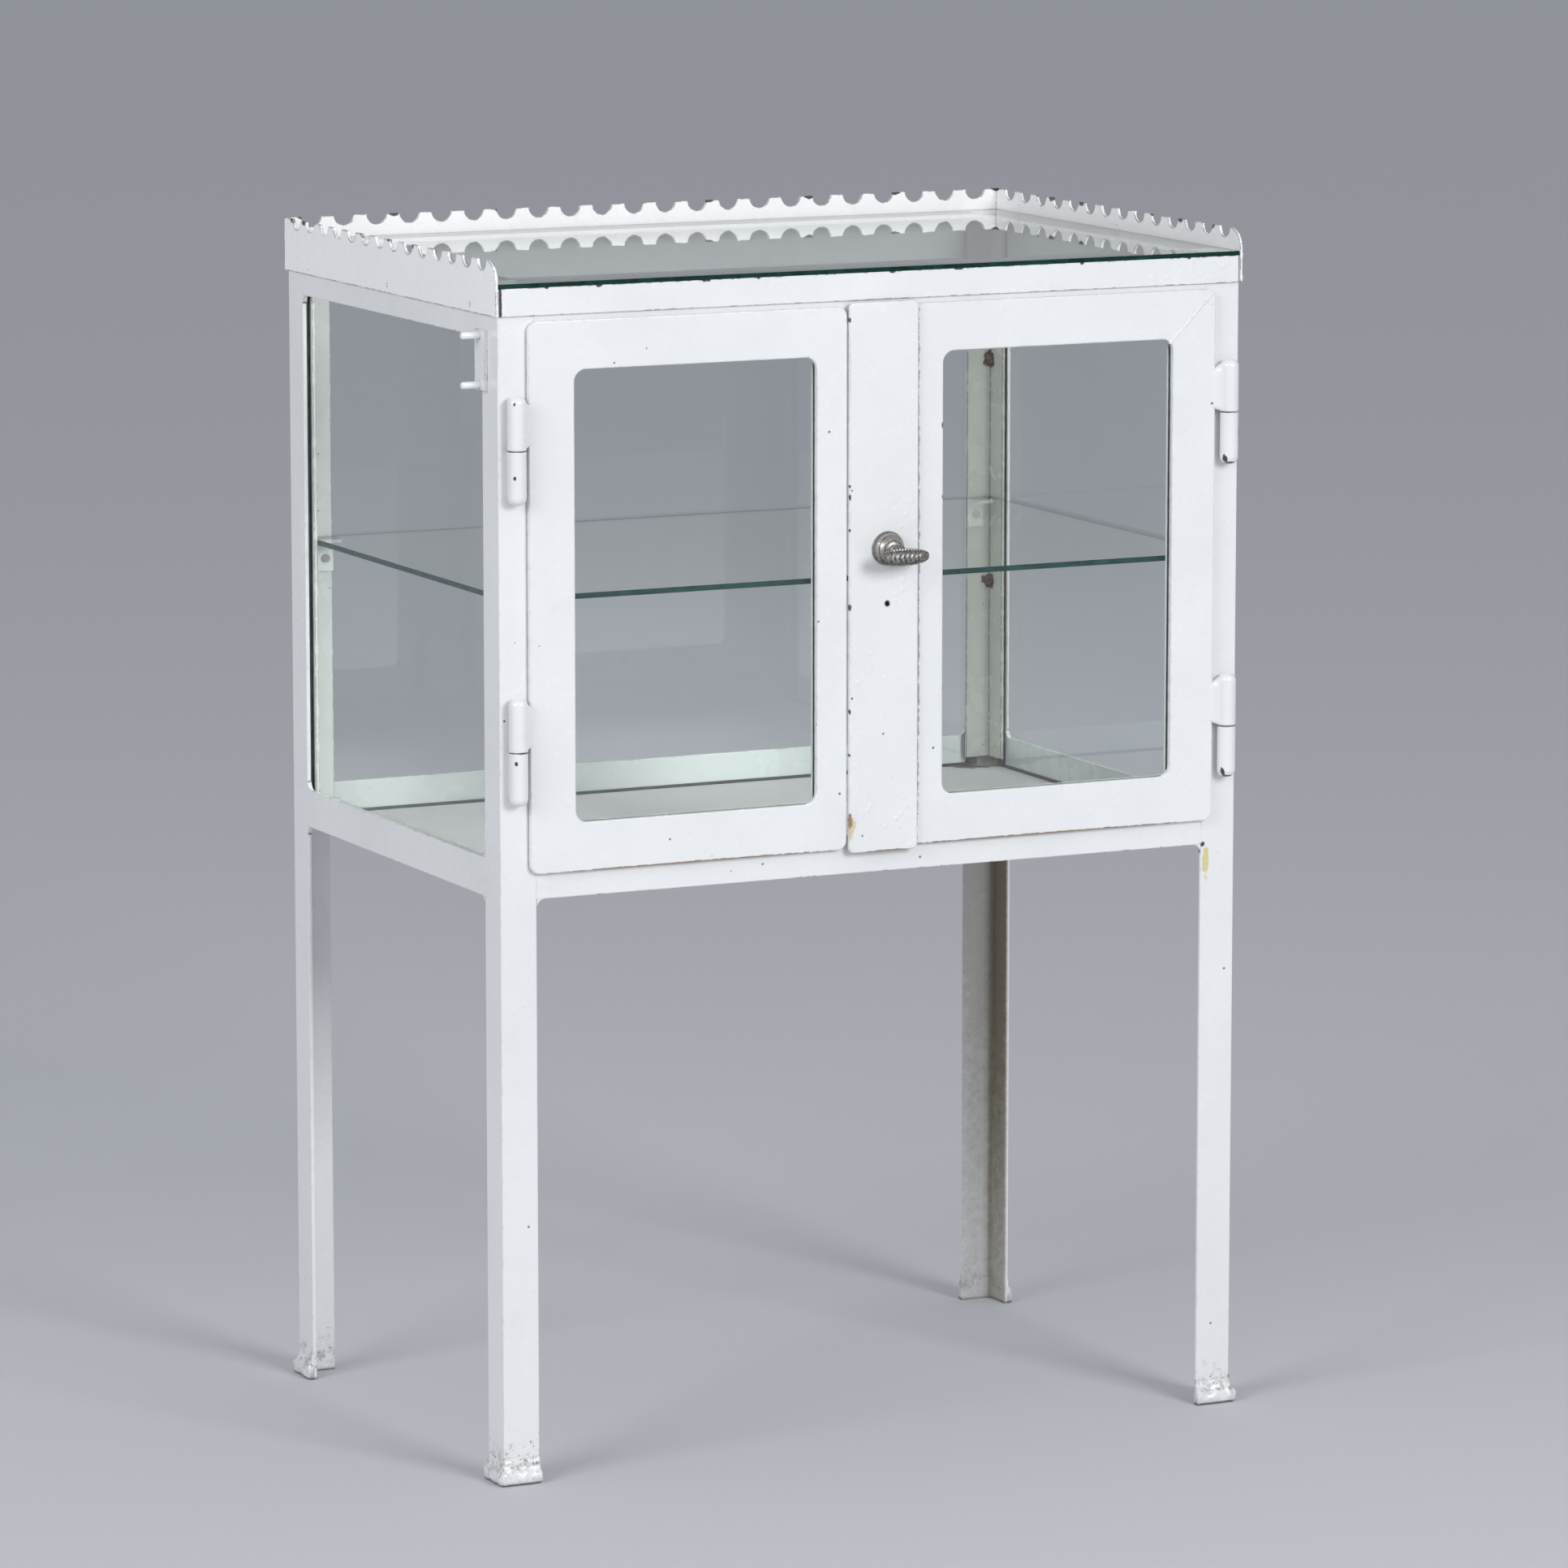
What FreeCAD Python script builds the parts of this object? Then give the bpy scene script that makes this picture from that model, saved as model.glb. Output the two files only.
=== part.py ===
import FreeCAD, Part
import math
import os

V = FreeCAD.Vector

# Driving dimensions, in millimetres. X runs to the right along the front, Y to the rear, Z up.
# The sizes are laid out from the middle of the front face at floor level.
cabinet_width = 740.0
cabinet_depth = 485.0
post_height = 1075.5
angle_leg = 35.0
angle_wall = 4.0
angle_root_radius = 5.0
angle_edge_radius = 1.2
foot_lip = 6.0
foot_lip_height = 12.0
foot_lip_radius = 2.5

# Rails between the posts
bottom_rail_height = 531.5
top_rail_leg = 45.0
weld_radius = 8.0
floor_thickness = 2.0
floor_edge_gap = 0.5
floor_corner_cut = 40.0

# Fixed panes, their rubber channels and the angles that clamp them
pane_thickness = 4.0
channel_wall = 1.25
channel_lip = 10.0
channel_sill_lip = 1.0
clamp_leg = 28.0
clamp_wall = 3.0
clamp_end_gap = 8.0
clamp_screw_diameter = 5.0
clamp_screw_head = 11.0
clamp_screw_head_height = 3.5
clamp_screw_dome = 2.1
clamp_screw_rise = 173.0
clamp_screw_drop = 128.0

# Tray on the top
top_glass_thickness = 4.0
top_glass_side_gap = 1.0
top_glass_front_setback = 0.5
tray_sheet = 2.5
tray_lap = 24.5
gallery_rise = 20.0
gallery_front_radius = 20.0
notch_pitch = 33.0
notch_radius = 10.0
notch_depth = 9.5
fascia_end_gap = 2.0
rivet_head = 5.0
rivet_head_height = 0.8
rivet_shank = 3.0
rivet_row_lift = 7.0
rivet_end_inset = 55.0

# Shelf
shelf_above_middle = 1.25
shelf_thickness = 5.0
shelf_front_gap = 11.0
shelf_side_gap = 1.5
bracket_width = 16.0
bracket_wall = 3.0
bracket_drop = 28.0
bracket_reach = 24.0
bracket_screw_diameter = 4.0
bracket_screw_head = 8.0
bracket_screw_head_height = 2.0

# Doors
door_side_lap = 8.0
door_bottom_lap = 12.0
door_top_lap = 15.5
door_standoff = 1.0
door_thickness = 5.0
door_bar = 44.0
door_corner_radius = 9.0
door_opening_radius = 11.0
door_edge_radius = 1.2
left_lock_stile = 30.0
right_lock_stile = 75.0
door_glass_thickness = 4.0
door_glass_lap = 7.0
door_seal_wall = 1.0
retainer_leg = 6.0
retainer_wall = 3.0
retainer_screw_diameter = 3.0
retainer_screw_head = 5.5
retainer_screw_head_height = 1.5

# Cover strip over the meeting of the doors
strip_width = 68.5
strip_thickness = 4.0
strip_overrun = 3.3
strip_offset = 3.2
strip_reveal = 27.0
strip_corner_radius = 5.0
strip_hole_diameter = 5.0
strip_hole_drop = 50.0
meeting_gap = 0.8

# Lift-off barrel hinges
hinge_inset = 14.0
hinge_barrel = 17.0
hinge_dome = 6.4
hinge_length = 96.0
hinge_split_gap = 0.5
hinge_post_gap = 0.5
hinge_pin = 8.0
hinge_pin_press = 0.02
hinge_pin_running = 0.05
hinge_pin_depth = 28.0
hinge_pad_width = 10.0
hinge_leaf_angle = 25.0
hinge_leaf_lap = 8.0
hinge_leaf_end = 4.0
upper_hinge_shift = 10.375
left_lower_hinge_shift = 11.375
right_lower_hinge_shift = 34.375

# Handle and the rods that it drives
handle_above_middle = 26.75
handle_offset = 6.5
rosette_diameter = 31.0
rosette_height = 13.0
rosette_foot = 2.0
rosette_dome = 12.4
neck_diameter = 13.0
neck_length = 22.0
neck_crown = 4.0
lever_length = 49.0
lever_height = 16.0
lever_depth = 12.0
lever_drop = 5.0
lever_lead = 4.0
spindle_side = 7.0
spindle_clearance = 0.4
crank_radius = 8.5
crank_wall = 3.5
crank_gap = 1.0
crank_pin_diameter = 4.0
crank_pin_wall = 1.5
handle_travel_degrees = 90.0
rod_width = 10.0
rod_thickness = 4.0
rod_gap = 1.0
rod_end_gap = 3.0
rod_slot_play = 0.6
rod_slot_wall = 3.0
guide_clearance = 0.3
guide_wall = 3.0
guide_height = 14.0
guide_end_inset = 30.0
guide_above_crank = 35.0
guide_below_crank = 50.0

# Bolts of the left door
bolt_diameter = 6.0
bolt_length = 62.0
bolt_travel = 12.0
bolt_knob_diameter = 5.0
bolt_knob_length = 6.0

# Holder on the side of the front left post
holder_width = 22.0
holder_height = 54.0
holder_wall = 3.0
holder_drop = 65.0
holder_inset = 22.0
peg_diameter = 6.5
peg_length = 18.0
peg_tip_radius = 2.0
peg_spacing = 44.0

# Levels and faces that follow from the sizes above
half_width = cabinet_width / 2
bottom_rail_top = bottom_rail_height + angle_leg
window_top = post_height - top_rail_leg
floor_bottom = bottom_rail_height + angle_wall
floor_top = floor_bottom + floor_thickness
channel_thickness = pane_thickness + 2 * channel_wall
clamp_face = angle_wall + channel_thickness
pane_bottom = floor_top + channel_wall
pane_top = post_height - angle_wall - channel_wall
door_bottom = bottom_rail_top - door_bottom_lap
door_top = window_top + door_top_lap
door_back = -door_standoff
door_front = door_back - door_thickness
door_outer = half_width - angle_leg + door_side_lap
opening_bottom = door_bottom + door_bar
opening_top = door_top - door_bar
door_middle = (door_bottom + door_top) / 2
door_quarter = (door_top - door_bottom) / 4
upper_hinge_height = door_top - door_quarter + upper_hinge_shift
left_lower_hinge_height = door_bottom + door_quarter - left_lower_hinge_shift
right_lower_hinge_height = door_bottom + door_quarter - right_lower_hinge_shift
handle_height = door_middle + handle_above_middle
shelf_top_height = door_middle + shelf_above_middle
holder_height_centre = post_height - holder_drop
strip_left = strip_offset - strip_width / 2
strip_right = strip_offset + strip_width / 2
left_door_edge = strip_left - meeting_gap
right_opening_left = strip_right + strip_reveal
right_door_edge = right_opening_left - right_lock_stile
strip_front = door_front - strip_thickness
hinge_x = half_width - hinge_inset
hinge_y = -hinge_barrel / 2 - hinge_post_gap
rod_front = angle_wall + rod_gap
rod_back = rod_front + rod_thickness
lever_centre_y = strip_front - rosette_foot - rosette_height - neck_length / 2

# The finished part stands with the middle of its own box over the origin.
reach_left = half_width + holder_wall + peg_length
reach_right = half_width + foot_lip
reach_front = -(lever_centre_y - lever_depth / 2)
reach_rear = cabinet_depth + foot_lip
origin = V((reach_right - reach_left) / 2, (reach_rear - reach_front) / 2, 0)

os.makedirs("parts", exist_ok=True)
pieces = {}


def box(x0, x1, y0, y1, z0, z1):
    """A block between two corners."""
    return Part.makeBox(x1 - x0, y1 - y0, z1 - z0, V(x0, y0, z0))


def cylinder(radius, start, direction, length):
    """A round bar from a start point along a direction."""
    return Part.makeCylinder(radius, length, start, direction)


def rounded_face(x0, x1, z0, z1, radius, y):
    """A rounded rectangle in the plane of the front, at depth y."""
    r = radius
    k = r * (1 - math.sqrt(0.5))
    corners = [
        (V(x1 - r, y, z0), V(x1 - k, y, z0 + k), V(x1, y, z0 + r)),
        (V(x1, y, z1 - r), V(x1 - k, y, z1 - k), V(x1 - r, y, z1)),
        (V(x0 + r, y, z1), V(x0 + k, y, z1 - k), V(x0, y, z1 - r)),
        (V(x0, y, z0 + r), V(x0 + k, y, z0 + k), V(x0 + r, y, z0)),
    ]
    edges = []
    last = corners[-1][2]
    for start, middle, end in corners:
        edges.append(Part.makeLine(last, start))
        edges.append(Part.Arc(start, middle, end).toShape())
        last = end
    return Part.Face(Part.Wire(edges))


def rounded_plate(x0, x1, z0, z1, radius, y0, y1):
    """A plate with rounded corners that stands in the plane of the front."""
    return rounded_face(x0, x1, z0, z1, radius, y0).extrude(V(0, y1 - y0, 0))


def edges_at(shape, test):
    """The edges of a shape whose every corner passes a test."""
    return [e for e in shape.Edges if all(test(v.Point) for v in e.Vertexes)]


def mirrored(shape):
    """The same shape on the other side of the cabinet's middle."""
    return shape.mirror(V(0, 0, 0), V(1, 0, 0))


def turned_to_rear(shape):
    """A piece of the front moved to the rear, facing the other way."""
    return shape.mirror(V(0, cabinet_depth / 2, 0), V(0, 1, 0))


def add(name, *solids):
    """Keep the solids of one named piece."""
    pieces[name] = solids[0] if len(solids) == 1 else Part.makeCompound(list(solids))


# Corner posts: full-height angle irons with a rounded root, and a forged lip welded round each foot.
def corner_post():
    """The front left post and the lip round its foot."""
    w, t, x = angle_leg, angle_wall, -half_width
    outline = [V(x, 0, 0), V(x + w, 0, 0), V(x + w, t, 0), V(x + t, t, 0), V(x + t, w, 0), V(x, w, 0)]
    face = Part.Face(Part.makePolygon(outline + [outline[0]]))
    iron = face.extrude(V(0, 0, post_height))

    def at_root(p):
        return abs(p.x - x - t) < 0.01 and abs(p.y - t) < 0.01

    def at_outer_edge(p):
        corner = abs(p.x - x) < 0.01 and abs(p.y) < 0.01
        tips = abs(p.x - x - w) < 0.01 or abs(p.y - w) < 0.01
        return corner or tips

    def uprights(test):
        return [e for e in iron.Edges if e.Length > post_height - 1 and test(e.Vertexes[0].Point)]

    iron = iron.makeFillet(angle_root_radius, uprights(at_root))
    iron = iron.makeFillet(angle_edge_radius, uprights(at_outer_edge))
    lip = foot_lip
    foot_outline = [V(x - lip, -lip, 0), V(x + w, -lip, 0), V(x + w, 0, 0),
                    V(x, 0, 0), V(x, w, 0), V(x - lip, w, 0)]
    foot = Part.Face(Part.makePolygon(foot_outline + [foot_outline[0]])).extrude(V(0, 0, foot_lip_height))

    def on_outer_rim(p):
        outside = abs(p.x - x + lip) < 0.01 or abs(p.y + lip) < 0.01
        return outside and abs(p.z - foot_lip_height) < 0.01

    foot = foot.makeFillet(foot_lip_radius, edges_at(foot, on_outer_rim))
    return iron, foot


front_left, front_left_lip = corner_post()
add("front_left_post", front_left)
add("front_right_post", mirrored(front_left))
add("rear_left_post", turned_to_rear(front_left))
add("rear_right_post", mirrored(turned_to_rear(front_left)))
left_lips = [front_left_lip, turned_to_rear(front_left_lip)]
add("foot_lips", *(left_lips + [mirrored(s) for s in left_lips]))


# Rails: angle irons butted between the posts, with a weld filled round in each corner.
def weld_fillet(x, z, to_right, to_top):
    """The concave corner of a weld, in the plane of the front."""
    r = weld_radius
    dx = r if to_right else -r
    dz = r if to_top else -r
    k = 1 - math.sqrt(0.5)
    arc = Part.Arc(V(x + dx, 0, z), V(x + dx * k, 0, z + dz * k), V(x, 0, z + dz)).toShape()
    sides = [Part.makeLine(V(x, 0, z + dz), V(x, 0, z)), Part.makeLine(V(x, 0, z), V(x + dx, 0, z))]
    return Part.Face(Part.Wire([arc] + sides)).extrude(V(0, angle_wall, 0))


def rail(span, bottom, top, shelf_at_top):
    """A rail along the front, centred on X, with its flat leg inwards, and the welds at its ends."""
    end = span / 2
    web = box(-end, end, 0, angle_wall, bottom, top)
    flat_bottom = top - angle_wall if shelf_at_top else bottom
    flat = box(-end, end, 0, angle_leg, flat_bottom, flat_bottom + angle_wall)
    welds = []
    for side in (-1, 1):
        welds.append(weld_fillet(side * end, bottom, side < 0, False))
        if not shelf_at_top:
            welds.append(weld_fillet(side * end, top, side < 0, True))
    return web.fuse(flat).removeSplitter(), welds


def as_side_rail(shape):
    """A rail of the front turned to lie along the left side."""
    turned = shape.copy()
    turned.rotate(V(0, 0, 0), V(0, 0, 1), -90)
    turned.translate(V(-half_width, cabinet_depth / 2, 0))
    return turned


front_span = cabinet_width - 2 * angle_leg
side_span = cabinet_depth - 2 * angle_leg
front_bottom_rail, front_welds = rail(front_span, bottom_rail_height, bottom_rail_top, False)
side_bottom_rail, side_welds = rail(side_span, bottom_rail_height, bottom_rail_top, False)
front_top_rail, front_top_welds = rail(front_span, window_top, post_height, True)
side_top_rail, side_top_welds = rail(side_span, window_top, post_height, True)
side_bottom_rail = as_side_rail(side_bottom_rail)
side_top_rail = as_side_rail(side_top_rail)
front_welds = front_welds + front_top_welds
left_welds = [as_side_rail(s) for s in side_welds + side_top_welds]
add("front_bottom_rail", front_bottom_rail)
add("rear_bottom_rail", turned_to_rear(front_bottom_rail))
add("left_bottom_rail", side_bottom_rail)
add("right_bottom_rail", mirrored(side_bottom_rail))
add("front_top_rail", front_top_rail)
add("rear_top_rail", turned_to_rear(front_top_rail))
add("left_top_rail", side_top_rail)
add("right_top_rail", mirrored(side_top_rail))
all_welds = front_welds + [turned_to_rear(s) for s in front_welds]
all_welds = all_welds + left_welds + [mirrored(s) for s in left_welds]
add("rail_weld_fillets", *all_welds)


# Floor: a sheet lying on the flat legs of the bottom rails, its corners cut clear of the posts.
def floor_panel():
    x = half_width - angle_wall - floor_edge_gap
    y0 = angle_wall + floor_edge_gap
    y1 = cabinet_depth - y0
    c = floor_corner_cut - angle_wall
    outline = [(-x + c, y0), (x - c, y0), (x, y0 + c), (x, y1 - c),
               (x - c, y1), (-x + c, y1), (-x, y1 - c), (-x, y0 + c)]
    points = [V(px, py, floor_bottom) for px, py in outline]
    return Part.Face(Part.makePolygon(points + [points[0]])).extrude(V(0, 0, floor_thickness))


add("floor_panel", floor_panel())


# Fixed panes: each stands in a black rubber channel against the inside of the frame.
def pane_and_channel(span):
    """A pane and its channel inside the front of an opening, centred on X."""
    end = span / 2 + channel_lip - channel_wall
    y0 = angle_wall + channel_wall
    glass = box(-end, end, y0, y0 + pane_thickness, pane_bottom, pane_top)
    outer = box(-end - channel_wall, end + channel_wall, angle_wall, angle_wall + channel_thickness,
                pane_bottom - channel_wall, pane_top)
    bare = box(-span / 2, span / 2, angle_wall, angle_wall + channel_thickness,
               pane_bottom + channel_sill_lip, pane_top)
    return glass, outer.cut(bare).cut(glass)


rear_glass, rear_channel = [turned_to_rear(s) for s in pane_and_channel(front_span)]
left_glass, left_channel = [as_side_rail(s) for s in pane_and_channel(side_span)]
add("rear_pane", rear_glass)
add("left_pane", left_glass)
add("right_pane", mirrored(left_glass))
add("pane_channels", rear_channel, left_channel, mirrored(left_channel))


# Clamp angles: light angles nested in the rear posts, screwed through their root so that each
# holds the edges of two panes. The front posts have a flat clamp bar for one pane.
clamp_bottom = floor_top + clamp_end_gap
clamp_top = post_height - angle_wall - clamp_end_gap
clamp_screw_heights = (clamp_bottom + clamp_screw_rise, clamp_top - clamp_screw_drop)


def clamp_angle():
    x = -half_width + clamp_face
    y = clamp_face
    w, t = clamp_leg, clamp_wall
    outline = [(x, y), (x + w, y), (x + w, y + t), (x + t, y + t), (x + t, y + w), (x, y + w)]
    points = [V(px, py, clamp_bottom) for px, py in outline]
    return Part.Face(Part.makePolygon(points + [points[0]])).extrude(V(0, 0, clamp_top - clamp_bottom))


def clamp_screw(height):
    """A screw through the root of the clamp angle into the root of the post, on the diagonal."""
    step = 1 / math.sqrt(2)
    outwards = V(step, step, 0)
    root = V(-half_width + angle_wall, angle_wall, height)
    reach = (clamp_face + clamp_wall - angle_wall) * math.sqrt(2)
    shank = cylinder(clamp_screw_diameter / 2, root, outwards, reach)
    seat = root + outwards * reach
    head = cylinder(clamp_screw_head / 2, seat, outwards, clamp_screw_head_height)
    rim = edges_at(head, lambda p: (p - seat).dot(outwards) > clamp_screw_head_height - 0.01)
    return shank, head.makeFillet(clamp_screw_dome, rim)


def drilled_clamp_and_screws():
    angle = clamp_angle()
    screws = []
    for height in clamp_screw_heights:
        shank, head = clamp_screw(height)
        angle = angle.cut(shank).cut(head)
        screws.append(shank.fuse(head).cut(front_left))
    return angle, screws


rear_clamp, rear_clamp_screws = drilled_clamp_and_screws()
rear_clamp = turned_to_rear(rear_clamp)
rear_clamp_screws = [turned_to_rear(s) for s in rear_clamp_screws]
add("rear_left_clamp_angle", rear_clamp)
add("rear_right_clamp_angle", mirrored(rear_clamp))


def front_clamp_bar_and_screws():
    """A flat bar that holds the front edge of the left pane, with its screws into the post."""
    x = -half_width + clamp_face
    y0 = angle_wall + angle_root_radius
    y1 = angle_leg
    bar = box(x, x + clamp_wall, y0, y1, clamp_bottom, clamp_top)
    screws = []
    mid = y0 + clamp_screw_head / 2
    for height in clamp_screw_heights:
        shank = cylinder(clamp_screw_diameter / 2, V(-half_width + angle_wall, mid, height), V(1, 0, 0),
                         clamp_face + clamp_wall - angle_wall)
        head = cylinder(clamp_screw_head / 2, V(x + clamp_wall, mid, height), V(1, 0, 0),
                        clamp_screw_head_height)
        bar = bar.cut(shank)
        screws.append(shank.fuse(head))
    return bar, screws


front_bar, front_bar_screws = front_clamp_bar_and_screws()
add("front_left_clamp_bar", front_bar)
add("front_right_clamp_bar", mirrored(front_bar))
left_clamp_screws = rear_clamp_screws + front_bar_screws
all_clamp_screws = left_clamp_screws + [mirrored(s) for s in left_clamp_screws]
add("clamp_screws", *all_clamp_screws)
for name in ("left_pane", "right_pane", "rear_pane", "pane_channels"):
    for screw in all_clamp_screws:
        pieces[name] = pieces[name].cut(screw)


# Tray: a fascia in front and a notched gallery strip on each of the other sides.
tray_bottom = post_height - tray_lap
gallery_top = post_height + top_glass_thickness + gallery_rise


def notched_strip(length, start, thickness):
    """A strip along X from start, with round notches along its top, at y from 0 to its thickness."""
    strip = box(start, start + length, 0, thickness, tray_bottom, gallery_top)
    count = int(length / notch_pitch)
    margin = (length - (count - 1) * notch_pitch) / 2
    centre_height = gallery_top - notch_depth + notch_radius
    for i in range(count):
        centre = V(start + margin + i * notch_pitch, 0, centre_height)
        strip = strip.cut(cylinder(notch_radius, centre, V(0, 1, 0), thickness))
    return strip


rear_gallery = notched_strip(cabinet_width, -half_width, tray_sheet)
rear_gallery.translate(V(0, cabinet_depth, 0))
side_length = cabinet_depth + 2 * tray_sheet
left_gallery = notched_strip(side_length, 0, tray_sheet)
left_gallery.rotate(V(0, 0, 0), V(0, 0, 1), 90)
left_gallery.translate(V(-half_width, -tray_sheet, 0))
front_corner = Part.makeBox(tray_sheet, gallery_front_radius, gallery_front_radius,
                            V(-half_width - tray_sheet, -tray_sheet, gallery_top - gallery_front_radius))
front_round = cylinder(gallery_front_radius,
                       V(-half_width - tray_sheet, -tray_sheet + gallery_front_radius,
                         gallery_top - gallery_front_radius), V(1, 0, 0), tray_sheet)
left_gallery = left_gallery.cut(front_corner.cut(front_round))
fascia_end = half_width - fascia_end_gap
fascia = box(-fascia_end, fascia_end, -tray_sheet, 0, tray_bottom, post_height)
add("rear_gallery", rear_gallery)
add("left_gallery", left_gallery)
add("right_gallery", mirrored(left_gallery))
add("front_fascia", fascia)

# Rivets that hold the tray strips to the posts and rails.
rivet_height = tray_bottom + rivet_row_lift


def rivet(face, outwards):
    """A rivet with its flat head on the outside of a strip."""
    shank_start = face - outwards * tray_sheet
    shank = cylinder(rivet_shank / 2, shank_start, outwards, tray_sheet)
    return shank.fuse(cylinder(rivet_head / 2, face, outwards, rivet_head_height))


rivets = []
for y in (rivet_end_inset, cabinet_depth / 2, cabinet_depth - rivet_end_inset):
    for side in (-1, 1):
        rivets.append(rivet(V(side * (half_width + tray_sheet), y, rivet_height), V(side, 0, 0)))
for x in (-half_width + rivet_end_inset, 0, half_width - rivet_end_inset):
    rivets.append(rivet(V(x, cabinet_depth + tray_sheet, rivet_height), V(0, 1, 0)))
add("tray_rivets", *rivets)
for name in ("left_gallery", "right_gallery", "rear_gallery"):
    for r in rivets:
        pieces[name] = pieces[name].cut(r)

# Top glass: lies on the posts and top rails, inside the gallery and over the fascia.
glass_end = half_width - top_glass_side_gap
add("top_glass", box(-glass_end, glass_end, -tray_sheet + top_glass_front_setback,
                     cabinet_depth - top_glass_side_gap, post_height, post_height + top_glass_thickness))

# Shelf: a glass plate that lies loose on four small brackets on the posts.
shelf_end = half_width - clamp_face - clamp_wall - shelf_side_gap
shelf_rear = cabinet_depth - clamp_face - clamp_wall - shelf_side_gap
shelf_bottom = shelf_top_height - shelf_thickness
shelf = box(-shelf_end, shelf_end, shelf_front_gap, shelf_rear, shelf_bottom, shelf_top_height)
add("shelf_glass", shelf)


def shelf_bracket(x0, face_y, inwards):
    """A bent bracket on an upright face, with its flat leg under the shelf, and its screw."""
    y0, y1 = sorted((face_y, face_y + inwards * bracket_wall))
    upright = box(x0, x0 + bracket_width, y0, y1, shelf_bottom - bracket_drop, shelf_bottom)
    y0, y1 = sorted((face_y, face_y + inwards * bracket_reach))
    flat = box(x0, x0 + bracket_width, y0, y1, shelf_bottom - bracket_wall, shelf_bottom)
    centre = V(x0 + bracket_width / 2, face_y, shelf_bottom - bracket_drop / 2 - bracket_wall / 2)
    shank = cylinder(bracket_screw_diameter / 2, centre, V(0, inwards, 0), bracket_wall)
    head = cylinder(bracket_screw_head / 2, centre + V(0, inwards * bracket_wall, 0), V(0, inwards, 0),
                    bracket_screw_head_height)
    return upright.fuse(flat).cut(shank).removeSplitter(), shank.fuse(head)


front_bracket_x = -half_width + clamp_face + clamp_wall + clamp_screw_head_height + shelf_side_gap
rear_bracket_x = -half_width + clamp_face + clamp_leg - bracket_width
front_bracket, front_bracket_screw = shelf_bracket(front_bracket_x, angle_wall, 1)
rear_bracket, rear_bracket_screw = shelf_bracket(rear_bracket_x, cabinet_depth - clamp_face - clamp_wall, -1)
left_brackets = [front_bracket, rear_bracket]
left_bracket_screws = [front_bracket_screw, rear_bracket_screw]
add("shelf_brackets", *(left_brackets + [mirrored(s) for s in left_brackets]))
add("shelf_bracket_screws", *(left_bracket_screws + [mirrored(s) for s in left_bracket_screws]))


# Doors: frames of flat bar with round corners, glass in a rubber seal, and a retainer behind.
def door(outer_x, inner_x, opening_outer, opening_inner):
    """Frame, seal, glass, retainer and screws of one door, for a door on the left side."""
    frame = rounded_plate(outer_x, inner_x, door_bottom, door_top, door_corner_radius, door_front, door_back)
    hole = rounded_plate(opening_outer, opening_inner, opening_bottom, opening_top, door_opening_radius,
                         door_front, door_back)
    frame = frame.cut(hole)
    front_rim = edges_at(frame, lambda p: abs(p.y - door_front) < 0.01)
    frame = frame.makeFillet(door_edge_radius, front_rim)

    def ring_box(grow, y0, y1):
        return box(opening_outer - grow, opening_inner + grow, y0, y1,
                   opening_bottom - grow, opening_top + grow)

    glass_front = door_back + door_seal_wall
    glass_back = glass_front + door_glass_thickness
    seal_back = glass_back + door_seal_wall
    glass = ring_box(door_glass_lap, glass_front, glass_back)
    seal_reach = door_glass_lap + door_seal_wall
    seal = ring_box(seal_reach, door_back, seal_back).cut(ring_box(0, door_back, seal_back)).cut(glass)
    retainer_back = seal_back + retainer_wall
    retainer_reach = seal_reach + retainer_leg
    retainer = ring_box(retainer_reach, door_back, retainer_back)
    retainer = retainer.cut(ring_box(seal_reach, door_back, seal_back))
    retainer = retainer.cut(ring_box(0, seal_back, retainer_back))
    screws = []
    line = seal_reach + retainer_leg / 2
    mid_x = (opening_outer + opening_inner) / 2
    mid_z = (opening_bottom + opening_top) / 2
    quarter_z = (opening_top - opening_bottom) / 4
    spots = [(mid_x, opening_bottom - line), (mid_x, opening_top + line)]
    for x in (opening_outer - line, opening_inner + line):
        for z in (mid_z - quarter_z, mid_z + quarter_z):
            spots.append((x, z))
    for x, z in spots:
        shank = cylinder(retainer_screw_diameter / 2, V(x, door_back, z), V(0, 1, 0),
                         retainer_back - door_back)
        head = cylinder(retainer_screw_head / 2, V(x, retainer_back, z), V(0, 1, 0),
                        retainer_screw_head_height)
        retainer = retainer.cut(shank)
        screws.append(shank.fuse(head))
    return frame, seal, glass, retainer, screws


left_opening_outer = -door_outer + door_bar
left_opening_inner = left_door_edge - left_lock_stile
left_frame, left_seal, left_door_pane, left_retainer, left_screws = door(
    -door_outer, left_door_edge, left_opening_outer, left_opening_inner)
right_frame, right_seal, right_door_pane, right_retainer, right_screws = [
    [mirrored(s) for s in shape] if isinstance(shape, list) else mirrored(shape)
    for shape in door(-door_outer, -right_door_edge, -door_outer + door_bar, -right_opening_left)]
add("left_door_frame", left_frame)
add("left_door_seal", left_seal)
add("left_door_glass", left_door_pane)
add("left_door_retainer", left_retainer)
add("left_retainer_screws", *left_screws)
add("right_door_frame", right_frame)
add("right_door_seal", right_seal)
add("right_door_glass", right_door_pane)
add("right_door_retainer", right_retainer)
add("right_retainer_screws", *right_screws)

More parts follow.
